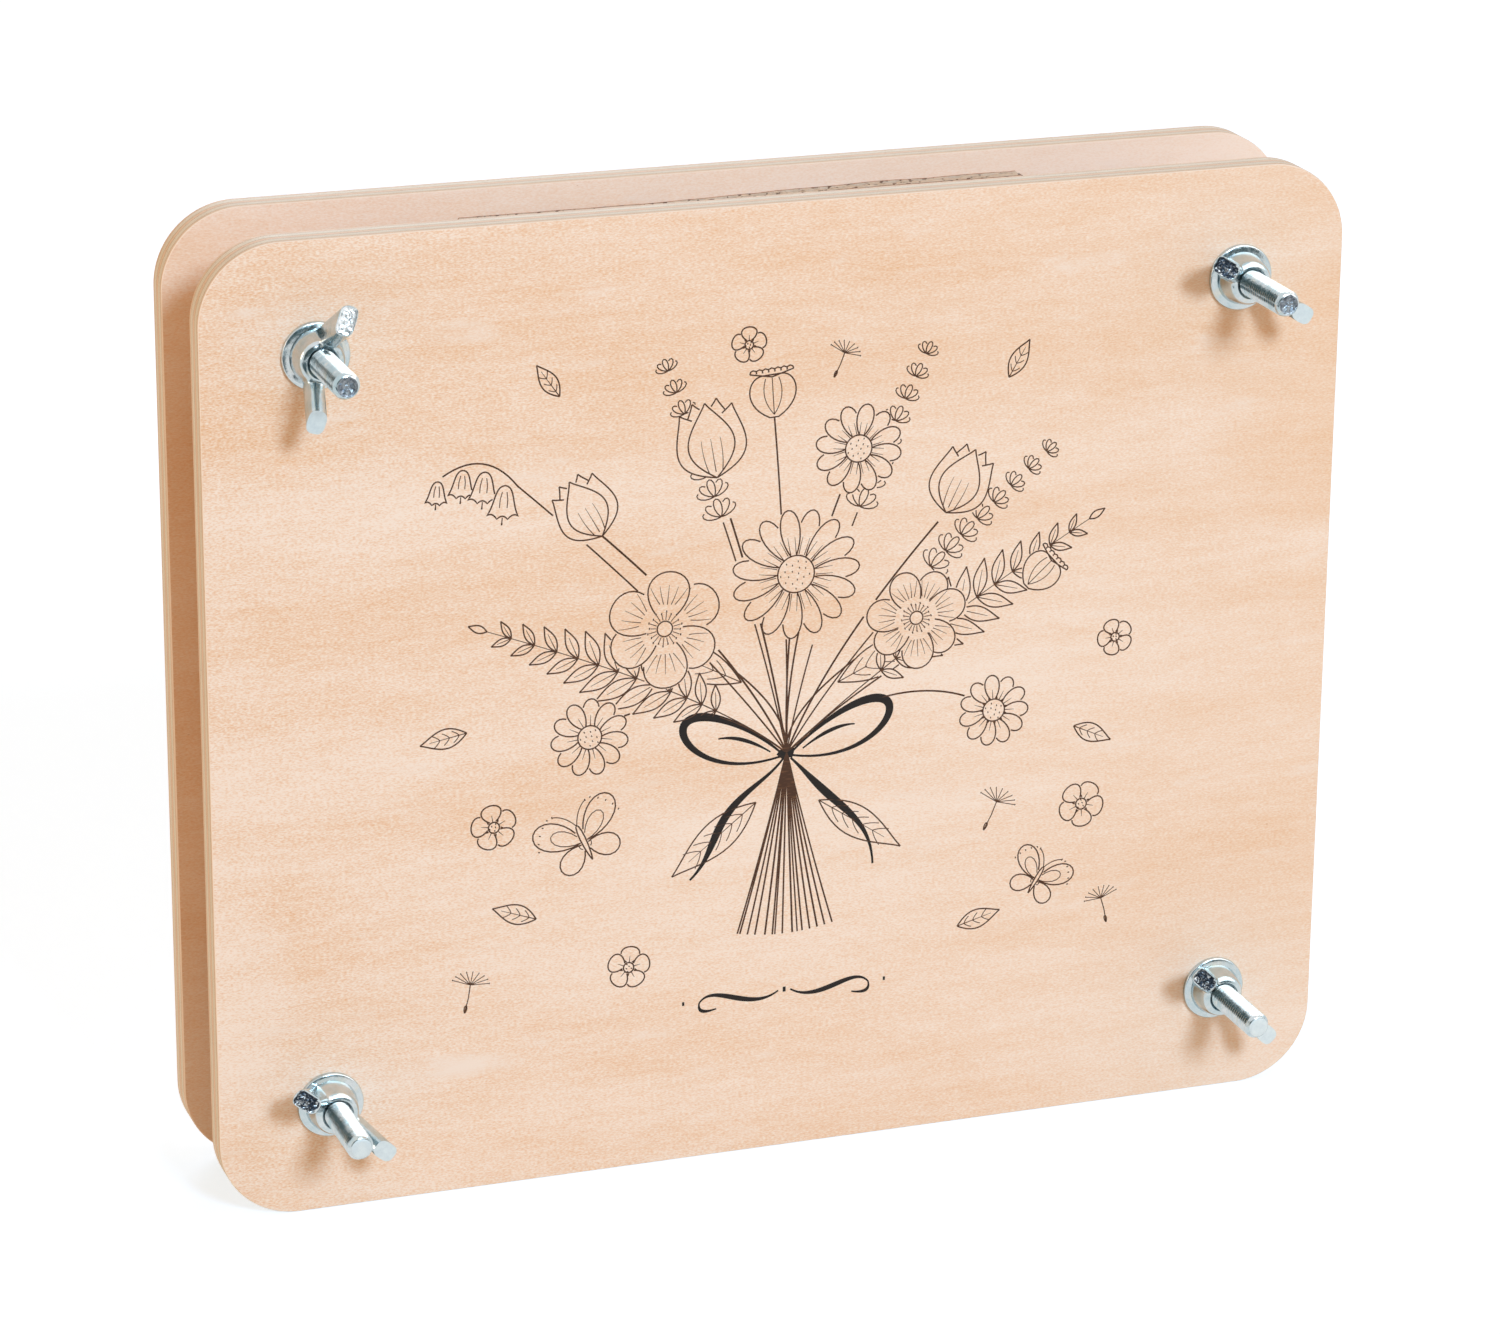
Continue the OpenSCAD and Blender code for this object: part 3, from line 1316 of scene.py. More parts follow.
        # Painted dark reflection: the plain wing's faces that look one way along Y get the dark
        # zinc.
        for face in bm.faces:
            centre = face.calc_center_median()
            sideways = face.normal.y * self.dark_reflection_side - 0.15 * noise.noise(centre * 1700)
            if face.material_index == 0 and centre.x < -0.9 * self.hub_r and sideways > 0.6:
                face.material_index = 3
        return bm

    def bore(self) -> BMesh:
        """The cutter of the threaded bore, countersunk at both ends.

        Returns:
            The closed cutter.
        """
        sink = 0.45 * MM
        r, top = self.bore_r, self.hub_h
        profile = [(0, -self.over), (r + sink + self.over, -self.over), (r, sink), (r, top - sink)]
        profile += [(r + sink + self.over, top + self.over), (0, top + self.over)]
        return turned(profile, 72)

    def build(self) -> Object:
        """Build and dress the wing nut.

        Returns:
            The piece, which rides on its own body.
        """
        bm = self.shape()
        turn = Matrix.Rotation(math.radians(self.turn), 4, "Z")
        bm.transform(self.places.on_bolt(self.corner, self.places.washer_front_y) @ turn)
        finishes = [self.finish, self.torn_finish, self.cut_finish, self.dark_reflection_finish]
        piece = finished(bm, f"wing_nut_{self.corner.label}_zinc", finishes, math.radians(38))
        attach(piece, f"nut_{self.corner.label}")
        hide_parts(f"wing_nut_{self.corner.label}")
        return piece


@dataclass(frozen=True)
class SheetOutline:
    """The outline that every sheet shares: a rectangle with slanted corners."""

    low: Vector
    high: Vector
    cut: float = 45.56 * MM

    @property
    def middle(self) -> Vector:
        """The middle of the rectangle."""
        return (self.low + self.high) / 2

    @property
    def half(self) -> Vector:
        """Half of the rectangle's size."""
        return (self.high - self.low) / 2

    def trim(self, bm: BMesh, spare: float = 0.0) -> None:
        """Cut the corners off an open sheet that lies in the XZ plane.

        Args:
            bm: The sheet.
            spare: How much further in each corner is cut.
        """
        reach = self.half.x + self.half.z - self.cut
        for sign_x in (-1, 1):
            for sign_z in (-1, 1):
                slant = Vector((sign_x, 0, sign_z)).normalized()
                at = self.middle + Vector((sign_x * reach / 2, 0, sign_z * reach / 2))
                cut_off(bm, at - slant * spare, slant, dist=1e-6)
        bmesh.ops.remove_doubles(bm, verts=bm.verts, dist=0.1 * MM)

    def sheet(self, y: float, columns: int, rows: int, inset: float = 0.0) -> BMesh:
        """Make an open rectangle in the XZ plane.

        Args:
            y: Its depth.
            columns: Number of faces along X.
            rows: Number of faces along Z.
            inset: How much smaller it is on each side.

        Returns:
            The open sheet.
        """
        bm = bmesh.new()
        size = Matrix.Diagonal((self.half.x - inset, self.half.z - inset, 1, 1))
        upright = Matrix.Rotation(math.pi / 2, 4, "X")
        place = Matrix.Translation((self.middle.x, y, self.middle.z)) @ upright @ size
        bmesh.ops.create_grid(bm, x_segments=columns, y_segments=rows, size=1.0, matrix=place)
        return bm


def thickened(bm: BMesh, thickness: float, wavy: bool = False) -> BMesh:
    """Give an open sheet its thickness, half on each side.

    Args:
        bm: The open sheet, which is freed.
        thickness: The thickness.
        wavy: Whether the wall keeps its thickness where the sheet bends.

    Returns:
        The closed sheet.
    """
    blank = finished(bm, "sheet_blank", [])
    wall = blank.modifiers.new("wall", "SOLIDIFY")
    wall.thickness = thickness
    wall.offset = 0.0
    wall.use_even_offset = wavy
    return settled(blank)


@dataclass
class CorrugatedCard:
    """Corrugated card: two liners with a fluted middle, whose flutes stand upright."""

    number: int
    finish: Material
    edge_shadow_finish: Material
    liner_t: float = 0.42 * MM
    flute_t: float = 0.5 * MM
    flute_pitch: float = 6.4 * MM
    flute_steps: int = 10
    askew: float = 0.85 * MM
    sag_from_z: float = 170 * MM
    sag_from_x: float = 28 * MM
    sag_w: float = 50 * MM
    liner_faces: tuple[int, int] = (60, 48)

    def build(self) -> Object:
        """Build and dress the card.

        Returns:
            The piece, which rides on the back frame.
        """
        node = f"card_{self.number}"
        low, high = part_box(node)
        outline = SheetOutline(low, high)
        shift = 0.37 * self.number * math.tau
        count = round((high.x - low.x) / self.flute_pitch)
        flutes_y = (low.y + high.y) / 2
        flutes = outline.sheet(flutes_y, count * self.flute_steps, 1, 0.2 * MM)
        swing = (high.y - low.y) / 2 - self.liner_t - self.flute_t / 2
        for vert in flutes.verts:
            vert.co.y += swing * math.sin(math.tau * vert.co.x / self.flute_pitch + shift)
        outline.trim(flutes, 0.2 * MM)
        self.sag(flutes)
        bm = thickened(flutes, self.flute_t, wavy=True)
        for y in (low.y + self.liner_t / 2, high.y - self.liner_t / 2):
            liner = outline.sheet(y, *self.liner_faces)
            outline.trim(liner)
            self.fray(liner, y)
            liner = thickened(liner, self.liner_t)
            for face in liner.faces:
                # The rear liner's edges take the darker card: darker kraft with a painted contact
                # shadow against the back board.
                face.material_index = 1 if y > flutes_y and abs(face.normal.y) < 0.5 else 0
            mesh = bpy.data.meshes.new("liner")
            liner.to_mesh(mesh)
            liner.free()
            bm.from_mesh(mesh)
            bpy.data.meshes.remove(mesh)
        bmesh.ops.recalc_face_normals(bm, faces=bm.faces)
        finishes = [self.finish, self.edge_shadow_finish]
        piece = finished(bm, f"corrugated_card_{self.number}", finishes, math.radians(50))
        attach(piece, "back_frame")
        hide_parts(node)
        return piece

    def fray(self, bm: BMesh, y: float) -> None:
        """Nibble the outline of a liner where it was cut.

        Args:
            bm: The open liner.
            y: Its depth, which changes the nibbles from one liner to the next.
        """
        middle = Vector((0, 0, MIDDLE_Z))
        for vert in bm.verts:
            if vert.is_boundary:
                inward = (middle - vert.co).normalized()
                vert.co += inward * 0.3 * MM * abs(noise.noise(vert.co * 420 + Vector((0, y, 9))))
        self.sag(bm)

    def sag(self, bm: BMesh) -> None:
        """Lower the upper edge towards the left, where the sheet was cut askew.

        Args:
            bm: The open sheet.
        """
        for vert in bm.verts:
            if vert.co.z > self.sag_from_z:
                share = min(max((self.sag_from_x - vert.co.x) / self.sag_w, 0.0), 1.0)
                vert.co.z -= self.askew * share * share * (3 - 2 * share)


@dataclass
class BlottingSheet:
    """A sheet of blotting paper, laid in by hand a little out of line."""

    number: int
    finish: Material
    seed: int = 41
    faces: tuple[int, int] = (60, 48)

    def build(self) -> Object:
        """Build and dress the sheet.

        Returns:
            The piece, which rides on the back frame.
        """
        node = f"blotter_{self.number}"
        low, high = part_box(node)
        outline = SheetOutline(low, high)
        draw = random.Random(self.seed + self.number)
        inset = draw.uniform(0.5, 1.1) * MM
        bm = outline.sheet((low.y + high.y) / 2, *self.faces, inset)
        outline.trim(bm, inset)
        for vert in bm.verts:
            if vert.is_boundary:
                vert.co += vert.co.normalized() * 0.12 * MM * noise.noise(vert.co * 300)
        middle = (low + high) / 2
        turn = Matrix.Rotation(math.radians(draw.uniform(-0.12, 0.12)), 4, "Y")
        bm.transform(Matrix.Translation(middle) @ turn @ Matrix.Translation(-middle))
        shift = (draw.uniform(-0.25, 0.25) * MM, 0, draw.uniform(-0.25, 0.25) * MM)
        bm.transform(Matrix.Translation(shift))
        bm = thickened(bm, (high.y - low.y) - 0.02 * MM)
        piece = finished(bm, f"blotting_sheet_{self.number}", [self.finish], math.radians(50))
        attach(piece, "back_frame")
        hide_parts(node)
        return piece


@dataclass
class PenLine:
    """One line of the drawing, in millimetres from the middle of the board."""

    points: list[Point]
    widths: list[float]

    def moved(self, turn: float, scale: float, to: Point) -> "PenLine":
        """A turned, scaled and moved copy, whose widths stay as they are."""
        return PenLine(placed(self.points, turn, scale, to), list(self.widths))


def placed(points: Iterable[Point], turn: float, scale: float, to: Point) -> list[Point]:
    """Points that are scaled, turned by an angle in degrees, and moved."""
    c, s = math.cos(math.radians(turn)) * scale, math.sin(math.radians(turn)) * scale
    return [(to[0] + c * x - s * y, to[1] + s * x + c * y) for x, y in points]


def flipped(points: Iterable[Point], side: int) -> list[Point]:
    """Points as they are for side 1, or their mirror image for side -1."""
    return [(side * x, y) for x, y in points]


def bent(*knots: Point, steps: int = 24) -> list[Point]:
    """Points along one Bezier curve of any degree.

    Args:
        *knots: Its ends and handles.
        steps: Number of chords.

    Returns:
        The points.
    """
    found = []
    for i in range(steps + 1):
        t = i / steps
        row = list(knots)
        while len(row) > 1:
            row = [
                (a[0] + (b[0] - a[0]) * t, a[1] + (b[1] - a[1]) * t) for a, b in zip(row, row[1:])
            ]
        found.append(row[0])
    return found


def within(point: Point, shape: Sequence[Point]) -> bool:
    """Whether a point lies inside a closed outline.

    Args:
        point: The point.
        shape: The outline.

    Returns:
        True if it lies inside.
    """
    x, y = point
    inside = False
    for (ax, ay), (bx, by) in zip(shape, list(shape[1:]) + [shape[0]]):
        if (ay > y) != (by > y) and x < (bx - ax) * (y - ay) / (by - ay) + ax:
            inside = not inside
    return inside


@dataclass
class Motif:
    """Part of the drawing: its lines, and the outlines that hide what lies behind it."""

    lines: list[PenLine] = field(default_factory=list)
    covers: list[list[Point]] = field(default_factory=list)

    def pen(self, points: Sequence[Point], width: float = 0.34, taper: bool = False) -> None:
        """Draw one line.

        Args:
            points: Its points.
            width: Its full width.
            taper: Whether it thins towards its end.
        """
        last = max(len(points) - 1, 1)
        widths = [width * (1 - 0.55 * i / last) if taper else width for i in range(len(points))]
        self.lines.append(PenLine(list(points), widths))

    def outline(self, points: list[Point], width: float = 0.34) -> None:
        """Draw an outline that hides what lies behind it."""
        self.pen(points, width)
        self.covers.append(points)

    def blade(self, length: float, width: float, steps: int = 14) -> None:
        """Draw the outline of a pointed leaf that stands on the origin.

        Args:
            length: Its length.
            width: Its width.
            steps: Number of chords on each side.
        """
        left, right = (leaf_side(length, width, side, steps) for side in (-1, 1))
        self.pen(left)
        self.pen(right)
        self.covers.append(left + right[::-1])

    def dot(self, at: Point, size: float = 0.5) -> None:
        """Add one dot of a given width."""
        ends = [(at[0] - size / 4, at[1]), (at[0] + size / 4, at[1])]
        self.lines.append(PenLine(ends, [size, size]))

    def brush(self, points: Sequence[Point], thin: float, thick: float, peak: float = 0.5) -> None:
        """Draw one brush stroke that swells and thins.

        Args:
            points: Its points.
            thin: Width at its ends.
            thick: Width where it is widest.
            peak: Share of its length where it is widest.
        """
        last = len(points) - 1
        widths = []
        for i in range(len(points)):
            t = i / last
            u = 0.5 * t / peak if t < peak else 1 - 0.5 * (1 - t) / (1 - peak)
            widths.append(thin + (thick - thin) * math.sin(math.pi * u) ** 1.6)
        self.lines.append(PenLine(list(points), widths))

    def add(self, other: "Motif", turn: float = 0, to: Point = (0, 0), scale: float = 1) -> None:
        """Add another motif behind what is already drawn.

        Args:
            other: The other motif.
            turn: Its angle, in degrees.
            to: Where its origin goes.
            scale: Its scale.
        """
        hiding = [(c, Motif.box(c)) for c in self.covers]
        for line in other.lines:
            self.lines.extend(self.clipped(line.moved(turn, scale, to), hiding))
        self.covers.extend(placed(c, turn, scale, to) for c in other.covers)

    @staticmethod
    def box(shape: Sequence[Point]) -> Box:
        """The lowest and highest coordinates of an outline."""
        xs, ys = [p[0] for p in shape], [p[1] for p in shape]
        return min(xs), max(xs), min(ys), max(ys)

    @staticmethod
    def clipped(line: PenLine, hiding: Sequence[tuple[list[Point], Box]]) -> list[PenLine]:
        """Cut a line where outlines hide it.

        Args:
            line: The line.
            hiding: The outlines with their boxes.

        Returns:
            The parts of it that show.
        """
        parts, points, widths = [], [], []
        for point, width in zip(line.points, line.widths):
            hidden = any(
                low_x < point[0] < high_x and low_y < point[1] < high_y and within(point, shape)
                for shape, (low_x, high_x, low_y, high_y) in hiding
            )
            if hidden:
                if len(points) > 1:
                    parts.append(PenLine(points, widths))
                points, widths = [], []
            else:
                points.append(point)
                widths.append(width)
        if len(points) > 1:
            parts.append(PenLine(points, widths))
        return parts


def petal(length: float, width: float, steps: int = 22) -> list[Point]:
    """The outline of a round-ended petal that stands on the origin.

    Args:
        length: Its length.
        width: Its width.
        steps: Number of chords.

    Returns:
        The closed outline.
    """
    found = []
    for i in range(steps + 1):
        turn = math.tau * i / steps
        rise = (1 - math.cos(turn)) / 2
        found.append((width / 2 * math.sin(turn) * rise**0.3, length * rise))
    return found


def leaf_side(length: float, width: float, side: float, steps: int) -> list[Point]:
    """One side of a pointed leaf that stands on the origin.

    Args:
        length: Its length.
        width: The whole leaf's width.
        side: Which side, as -1 or 1.
        steps: Number of chords.

    Returns:
        The points from its base to its tip.
    """
    found = []
    for i in range(steps + 1):
        t = i / steps
        found.append((side * width / 2 * math.sin(math.pi * t**0.85) ** 1.15, length * t))
    return found


def leaf(length: float, width: float, veins: int = 0, rib: float = 0.8) -> Motif:
    """A pointed leaf with a middle rib and side veins.

    Args:
        length: Its length.
        width: Its width.
        veins: Number of veins on each side.
        rib: Share of the length that the rib reaches, or 0 for none.

    Returns:
        The motif.
    """
    motif = Motif()
    motif.blade(length, width)
    if rib:
        motif.pen([(0, length * rib * i / 8) for i in range(9)], 0.26, taper=True)
    for i in range(veins):
        base = length * (0.16 + 0.62 * i / max(veins, 1))
        for side in (-1, 1):
            bow = (side * width * 0.18, base + length * 0.05)
            tip = (side * width * 0.3, base + length * 0.14)
            motif.pen(bent((0, base), bow, tip, steps=4), 0.22)
    return motif


def ring(radius: float, steps: int = 24) -> list[Point]:
    """The points of a circle about the origin, closed."""
    return arc((0, 0), radius, 0, 360, steps)


def daisy(radius: float, petals: int, core: float, marks: int = 2) -> Motif:
    """A daisy seen from above.

    Args:
        radius: Its outer radius.
        petals: Number of petals.
        core: Radius of its middle.
        marks: Number of short lines on each petal.

    Returns:
        The motif.
    """
    motif = Motif()
    middle = Motif()
    middle.outline(ring(core, 30))
    florets = max(int(core * 5), 5)
    for i in range(florets):
        reach = core * 0.85 * math.sqrt((i + 0.5) / florets)
        turn = i * GOLDEN_TURN
        middle.dot((reach * math.cos(turn), reach * math.sin(turn)), 0.42)
    motif.add(middle)
    length = radius - core * 0.8
    width = math.tau * (core + length * 0.62) / petals * 1.12
    for i in range(petals):
        one = Motif()
        one.outline(petal(length, width))
        for k in range(marks):
            x = (k - (marks - 1) / 2) * width * 0.24
            mark = [(x, length * 0.1), (x * 1.2, length * 0.28), (x * 1.3, length * 0.45)]
            one.pen(mark, 0.22, taper=True)
        turn = 360 * i / petals
        at = placed([(0, core * 0.8)], turn, 1, (0, 0))[0]
        motif.add(one, turn, at)
    return motif


def tulip(length: float) -> Motif:
    """A tulip from the side, standing on the origin.

    Args:
        length: Its length.

    Returns:
        The motif.
    """
    motif = Motif()
    width = length * 0.62
    front = Motif()
    front.blade(length, width, 20)
    for x in (-0.09, 0, 0.09):
        knots = ((x * length, length * 0.08), (x * 1.6 * length, length * 0.3))
        end = (x * 1.4 * length, length * 0.52)
        front.pen(bent(*knots, end, steps=8), 0.24, taper=True)
    motif.add(front)
    for turn, scale in ((21, 0.98), (-21, 0.98), (9, 1.04), (-9, 1.04)):
        side = Motif()
        side.blade(length, width, 20)
        motif.add(side, turn, scale=scale)
    return motif


def anemone(radius: float, petals: int = 6) -> Motif:
    """An open flower with broad petals, a ring of stamens and lines on its petals.

    Args:
        radius: Its outer radius.
        petals: Number of petals.

    Returns:
        The motif.
    """
    motif = Motif()
    heart = Motif()
    heart.pen(ring(radius * 0.13, 18))
    heart.covers.append(ring(radius * 0.3, 24))
    for i in range(20):
        turn = math.tau * i / 20
        c, s = math.cos(turn), math.sin(turn)
        reach = radius * (0.24 + 0.03 * (i % 2))
        heart.pen([(radius * 0.15 * c, radius * 0.15 * s), (reach * c, reach * s)], 0.2)
        heart.dot((reach * 1.08 * c, reach * 1.08 * s))
    motif.add(heart)
    length = radius * 0.9
    width = math.tau * radius * 0.62 / petals * 1.35
    for i in range(petals):
        one = Motif()
        one.outline(petal(length, width, 30))
        for k in range(-2, 3):
            spread = k * width * 0.11
            knots = ((spread * 0.7, length * 0.36), (spread * 1.3, length * 0.52))
            end = (spread * 1.7, length * (0.74 - 0.03 * abs(k)))
            one.pen(bent(*knots, end, steps=6), 0.22, taper=True)
        turn = 360 * i / petals + (7 if i % 2 else 0)
        at = placed([(0, radius * 0.1)], turn, 1, (0, 0))[0]
        motif.add(one, turn, at, 1 if i % 2 else 0.95)
    return motif


def along(stem: Sequence[Point], share: float) -> tuple[Point, float]:
    """A place on a stem.

    Args:
        stem: The stem's points.
        share: Share of the way along it.

    Returns:
        The point, and the stem's angle from upright there, in degrees.
    """
    place = share * (len(stem) - 1)
    i = min(int(place), len(stem) - 2)
    t = place - i
    (ax, ay), (bx, by) = stem[i], stem[i + 1]
    turn = math.degrees(math.atan2(by - ay, bx - ax)) - 90
    return (ax + (bx - ax) * t, ay + (by - ay) * t), turn


def frond(stem: Sequence[Point], pairs: int, first: float, longest: float, lean: float) -> Motif:
    """A frond with pairs of narrow leaflets.

    Args:
        stem: The stem's points.
        pairs: Number of pairs.
        first: Share of the stem where the leaflets start.
        longest: Length of the longest leaflet.
        lean: Angle between the stem and a leaflet, in degrees.

    Returns:
        The motif.
    """
    motif = Motif()
    motif.pen(stem, 0.4, taper=True)
    for i in range(pairs):
        t = i / pairs
        at, turn = along(stem, first + (1 - first) * t)
        length = longest * (0.55 + 1.3 * t) if t < 0.35 else longest * (1.32 - t) * 1.04
        spread = lean * (1 - 0.35 * t)
        for side in (-1, 1):
            motif.add(leaf(length, length * 0.34, 0, 0.7), turn + side * spread, at)
    at, turn = along(stem, 1)
    motif.add(leaf(longest * 0.4, longest * 0.15, 0, 0), turn, at)
    return motif


def lavender(stem: Sequence[Point], whorls: int, first: float, size: float) -> Motif:
    """A spike of lavender.

    Args:
        stem: The stem's points.
        whorls: Number of whorls of buds.
        first: Share of the stem where they start.
        size: Length of a bud.

    Returns:
        The motif.
    """
    motif = Motif()
    buds = Motif()
    for i in range(whorls):
        t = i / (whorls - 1)
        at, turn = along(stem, first + (1 - first) * t)
        scale = 1 - 0.35 * t
        for lean in (0, -38, 38, -66, 66):
            bud = Motif()
            bud.outline(petal(size * scale, size * scale * 0.5, 12), 0.3)
            buds.add(bud, turn + lean, at)
    motif.add(buds)
    behind = Motif()
    behind.pen(stem, 0.36)
    motif.add(behind)
    return motif


def seed_head(size: float) -> Motif:
    """A ribbed seed head with a frilled cap, standing on the origin.

    Args:
        size: Its height.

    Returns:
        The motif.
    """
    motif = Motif()
    cap = Motif()
    frill = []
    for i in range(7):
        x = -0.42 + 0.84 * i / 6
        frill += arc((x * size, size * 1.02), size * 0.08, 180, 0, 4)
    left, low, right = (-0.5 * size, size * 1.02), (0, size * 0.9), (0.5 * size, size * 1.02)
    cap.pen(frill)
    cap.pen([left, low, right])
    cap.covers.append([left, *frill, right, low])
    motif.add(cap)
    pod = Motif()
    knots = ((0.1, 0), (0.75, 0.35), (0.55, 0.95), (0.22, 0.95))
    rise = [(-x * size, y * size) for x, y in knots]
    fall = [(x * size, y * size) for x, y in knots[::-1]]
    outline = bent(*rise, steps=14) + bent(*fall, steps=14)
    pod.pen(outline + [outline[0]])
    pod.covers.append(outline)
    for k in (-0.5, 0, 0.5):
        rib = ((0, 0.06 * size), (k * 0.62 * size, 0.45 * size), (k * 0.3 * size, 0.88 * size))
        pod.pen(bent(*rib, steps=8), 0.22)
    motif.add(pod)
    return motif


def bell(size: float) -> Motif:
    """A bell-shaped flower that hangs from the origin.

    Args:
        size: Its height.

    Returns:
        The motif.
    """
    motif = Motif()
    side = bent((0, 0), (0.34, -0.02), (0.26, -0.62), (0.5, -0.95), steps=10)
    hem = bent((0.5, -0.95), (0.34, -0.82), (0.17, -1.05), steps=6)
    hem += bent((0.17, -1.05), (0, -0.86), (-0.17, -1.05), steps=6)[1:]
    hem += bent((-0.17, -1.05), (-0.34, -0.82), (-0.5, -0.95), steps=6)[1:]
    outline = side + hem[1:] + [(-x, y) for x, y in side[::-1]][1:]
    motif.outline([(x * size, y * size) for x, y in outline])
    for x in (-0.12, 0.12):
        fold = ((0.6 * x, -0.2), (x, -0.45), (x, -0.7))
        motif.pen([(a * size, b * size) for a, b in fold], 0.22)
    motif.pen([(0, -size), (0, -1.16 * size)], 0.26)
    motif.dot((0, -1.2 * size), 0.6)
    return motif


def butterfly(size: float) -> Motif:
    """A butterfly seen from above, with spread wings.

    Args:
        size: About the length of its upper wings.

    Returns:
        The motif.
    """
    motif = Motif()
    body = Motif()
    body.outline(petal(size * 0.62, size * 0.1, 14))
    for side in (-1, 1):
        bow, tip = (side * 0.1 * size, 0.85 * size), (side * 0.28 * size, 0.92 * size)
        feeler = bent((0, 0.6 * size), bow, tip)
        body.pen(feeler, 0.24)
        body.dot(feeler[-1])
    motif.add(body)
    for side in (-1, 1):
        upper = Motif()
        upper.outline(petal(size * 0.78, size * 0.52, 22))
        upper.pen(petal(size * 0.5, size * 0.28, 14), 0.24)
        for k in range(5):
            turn = math.radians(90 + (k - 2) * 11)
            upper.dot((size * 0.67 * math.cos(turn), size * 0.67 * math.sin(turn)), 0.45)
        motif.add(upper, -side * 52, (side * 0.03 * size, 0.34 * size))
        lower = Motif()
        lower.outline(petal(size * 0.52, size * 0.42, 18))
        lower.pen(ring(size * 0.07, 12), 0.24)
        motif.add(lower, -side * 122, (side * 0.03 * size, 0.28 * size))
    return motif


def drifting_seed(size: float) -> Motif:
    """One seed on its parachute of hairs.

    Args:
        size: About its height.

    Returns:
        The motif.
    """
    motif = Motif()
    motif.pen([(0, 0), (0.02 * size, size * 0.4), (0, size * 0.75)], 0.26)
    motif.pen(petal(size * 0.2, size * 0.08, 10), 0.3)
    for i in range(9):
        turn = math.radians(90 + (i - 4) * 19)
        tip = (0.5 * size * math.cos(turn), size * 0.75 + 0.34 * size * math.sin(turn))
        motif.pen([(0, size * 0.75), tip], 0.2)
        motif.dot(tip, 0.36)
    return motif


